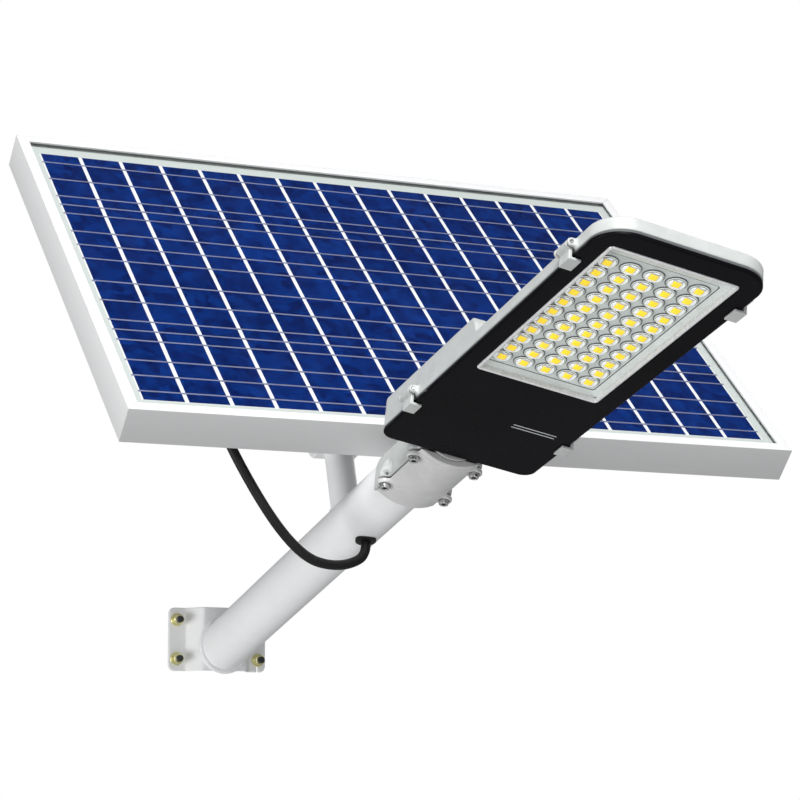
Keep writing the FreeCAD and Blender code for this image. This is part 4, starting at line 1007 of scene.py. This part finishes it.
# Clamp screws: socket heads with a knurled rim
SCREW_X, SCREW_S, SEAT_Z, SPLIT_Z = 28.4, (476.6, 537.9), -23.8, -20.3
screws = Shape(CLAMP)
for x in (-SCREW_X, SCREW_X):
    for s in SCREW_S:
        at = (x, -s, SEAT_Z)
        head = [round_ring(3.9, 0.0), round_ring(4.25, 0.3)]
        knurl = round_ring(4.25, 0)
        for z in (0.6, 4.4):
            head.append([(px * (1 + 0.02 * (-1) ** k), py * (1 + 0.02 * (-1) ** k), z)
                         for k, (px, py, _) in enumerate(knurl)])
        head += [round_ring(4.1, 4.8), round_ring(3.7, 5.0), round_ring(2.5, 5.0), round_ring(2.4, 4.8, 4.0),
                 round_ring(2.31, 2.4, 4.0)]
        screws.loft(along(head, at, (0, 0, -1), rng.uniform(0, 1)))
        socket = [round_ring(2.28, z, 4.0) for z in (2.45, 2.6)]
        screws.loft(along(socket, at, (0, 0, -1)), slot=1)
        shank(screws, at, (0, 0, 1), 2.5, 4)
        thread(screws, (x, -s, SPLIT_Z), (0, 0, 1), 2.5, 10.5, 0.8)
screws.make("clamp_screws_socket", "head", "stainless", ["clamp_screws"], [stainless, black_plastic], 40)

# Cast lip that closes the clamp's throat under the face plate
THROAT_R, CHORD_Z = 24.9, -12.0
half_angle = math.degrees(math.acos(-CHORD_Z / THROAT_R))
segment = arc(0.0, 0.0, THROAT_R, 270 - half_angle, 270 + half_angle, 24)
throat_lip = Shape(CLAMP)
throat_lip.loft([[(x * share, -s, z * share + CHORD_Z * (1 - share)) for x, z in segment]
                 for s, share in ((549.0, 0.985), (549.3, 1.0), (551.9, 1.0), (552.3, 0.985))])
throat_lip.make("clamp_throat_lip", "head", "cast_plain", (), [cast_plain])

# Two plain printed lines on the face
rule = Shape(HEAD)
for y in (-637.0, -632.5):
    rule.loft([loop(14.0, 54.0, y - 0.6, y + 0.6, 0.55, FACE_Z + z, 4) for z in (0.02, -0.06)])
rule.make("face_print_rule", "head", "bright_trim", (), [print_silver])

paint(sleeve, "battery_cells")
paint(black_plastic, "battery_tray", "controller_parts", "head_gland")
paint(board_green, "controller_board")

# ---------------------------------------------------------------- floor, world and lights

FLOOR_Z, FLOOR_HALF = -3.2, 60.0
floor_mesh = bpy.data.meshes.new("floor")
floor_corners = [(i * FLOOR_HALF, j * FLOOR_HALF, FLOOR_Z) for i, j in ((-1, -1), (1, -1), (1, 1), (-1, 1))]
floor_mesh.from_pydata(floor_corners, [], [(0, 1, 2, 3)])
floor_look = Look("floor")
floor_mesh.materials.append(floor_look.finish(
    floor_look.mix(floor_look.noise(0.8, 3.0), (0.80, 0.80, 0.80), (0.83, 0.83, 0.83)), 0.9, 0.0, 0.1))
floor = bpy.data.objects.new("floor", floor_mesh)
scene.collection.objects.link(floor)

world = bpy.data.worlds.new("studio")
scene.world = world
world.use_nodes = True
tree = world.node_tree
backdrop = tree.nodes["Background"]
backdrop.inputs["Color"].default_value = (1, 1, 1, 1)
backdrop.inputs["Strength"].default_value = 1.0
ambient = tree.nodes.new("ShaderNodeBackground")
ambient.inputs["Color"].default_value = (0.97, 0.985, 1.0, 1)
ambient.inputs["Strength"].default_value = 0.27
ray = tree.nodes.new("ShaderNodeLightPath")
choice = tree.nodes.new("ShaderNodeMixShader")
tree.links.new(ray.outputs["Is Camera Ray"], choice.inputs[0])
tree.links.new(ambient.outputs[0], choice.inputs[1])
tree.links.new(backdrop.outputs[0], choice.inputs[2])
tree.links.new(choice.outputs[0], tree.nodes["World Output"].inputs["Surface"])


def area(name, place, aim, size, watts):
    """Soft disk light at place, turned towards aim."""
    data = bpy.data.lights.new(name, "AREA")
    data.shape = "DISK"
    data.size = size
    data.energy = watts
    lamp = bpy.data.objects.new(name, data)
    lamp.location = place
    lamp.rotation_mode = "QUATERNION"
    lamp.rotation_quaternion = (Vector(aim) - Vector(place)).to_track_quat("-Z", "Y")
    scene.collection.objects.link(lamp)


CENTRE = (0.05, -0.45, 0.2)
area("key", (-1.1, -3.3, 2.95), CENTRE, 1.8, 190.0)
area("side", (-3.7, -0.5, -1.0), CENTRE, 2.4, 72.0)
area("front", (-1.0, -4.3, 0.15), CENTRE, 2.2, 32.0)
area("rim", (2.6, 1.8, 1.6), CENTRE, 1.6, 22.0)

scene.view_settings.view_transform = "Standard"
scene.view_settings.look = "None"
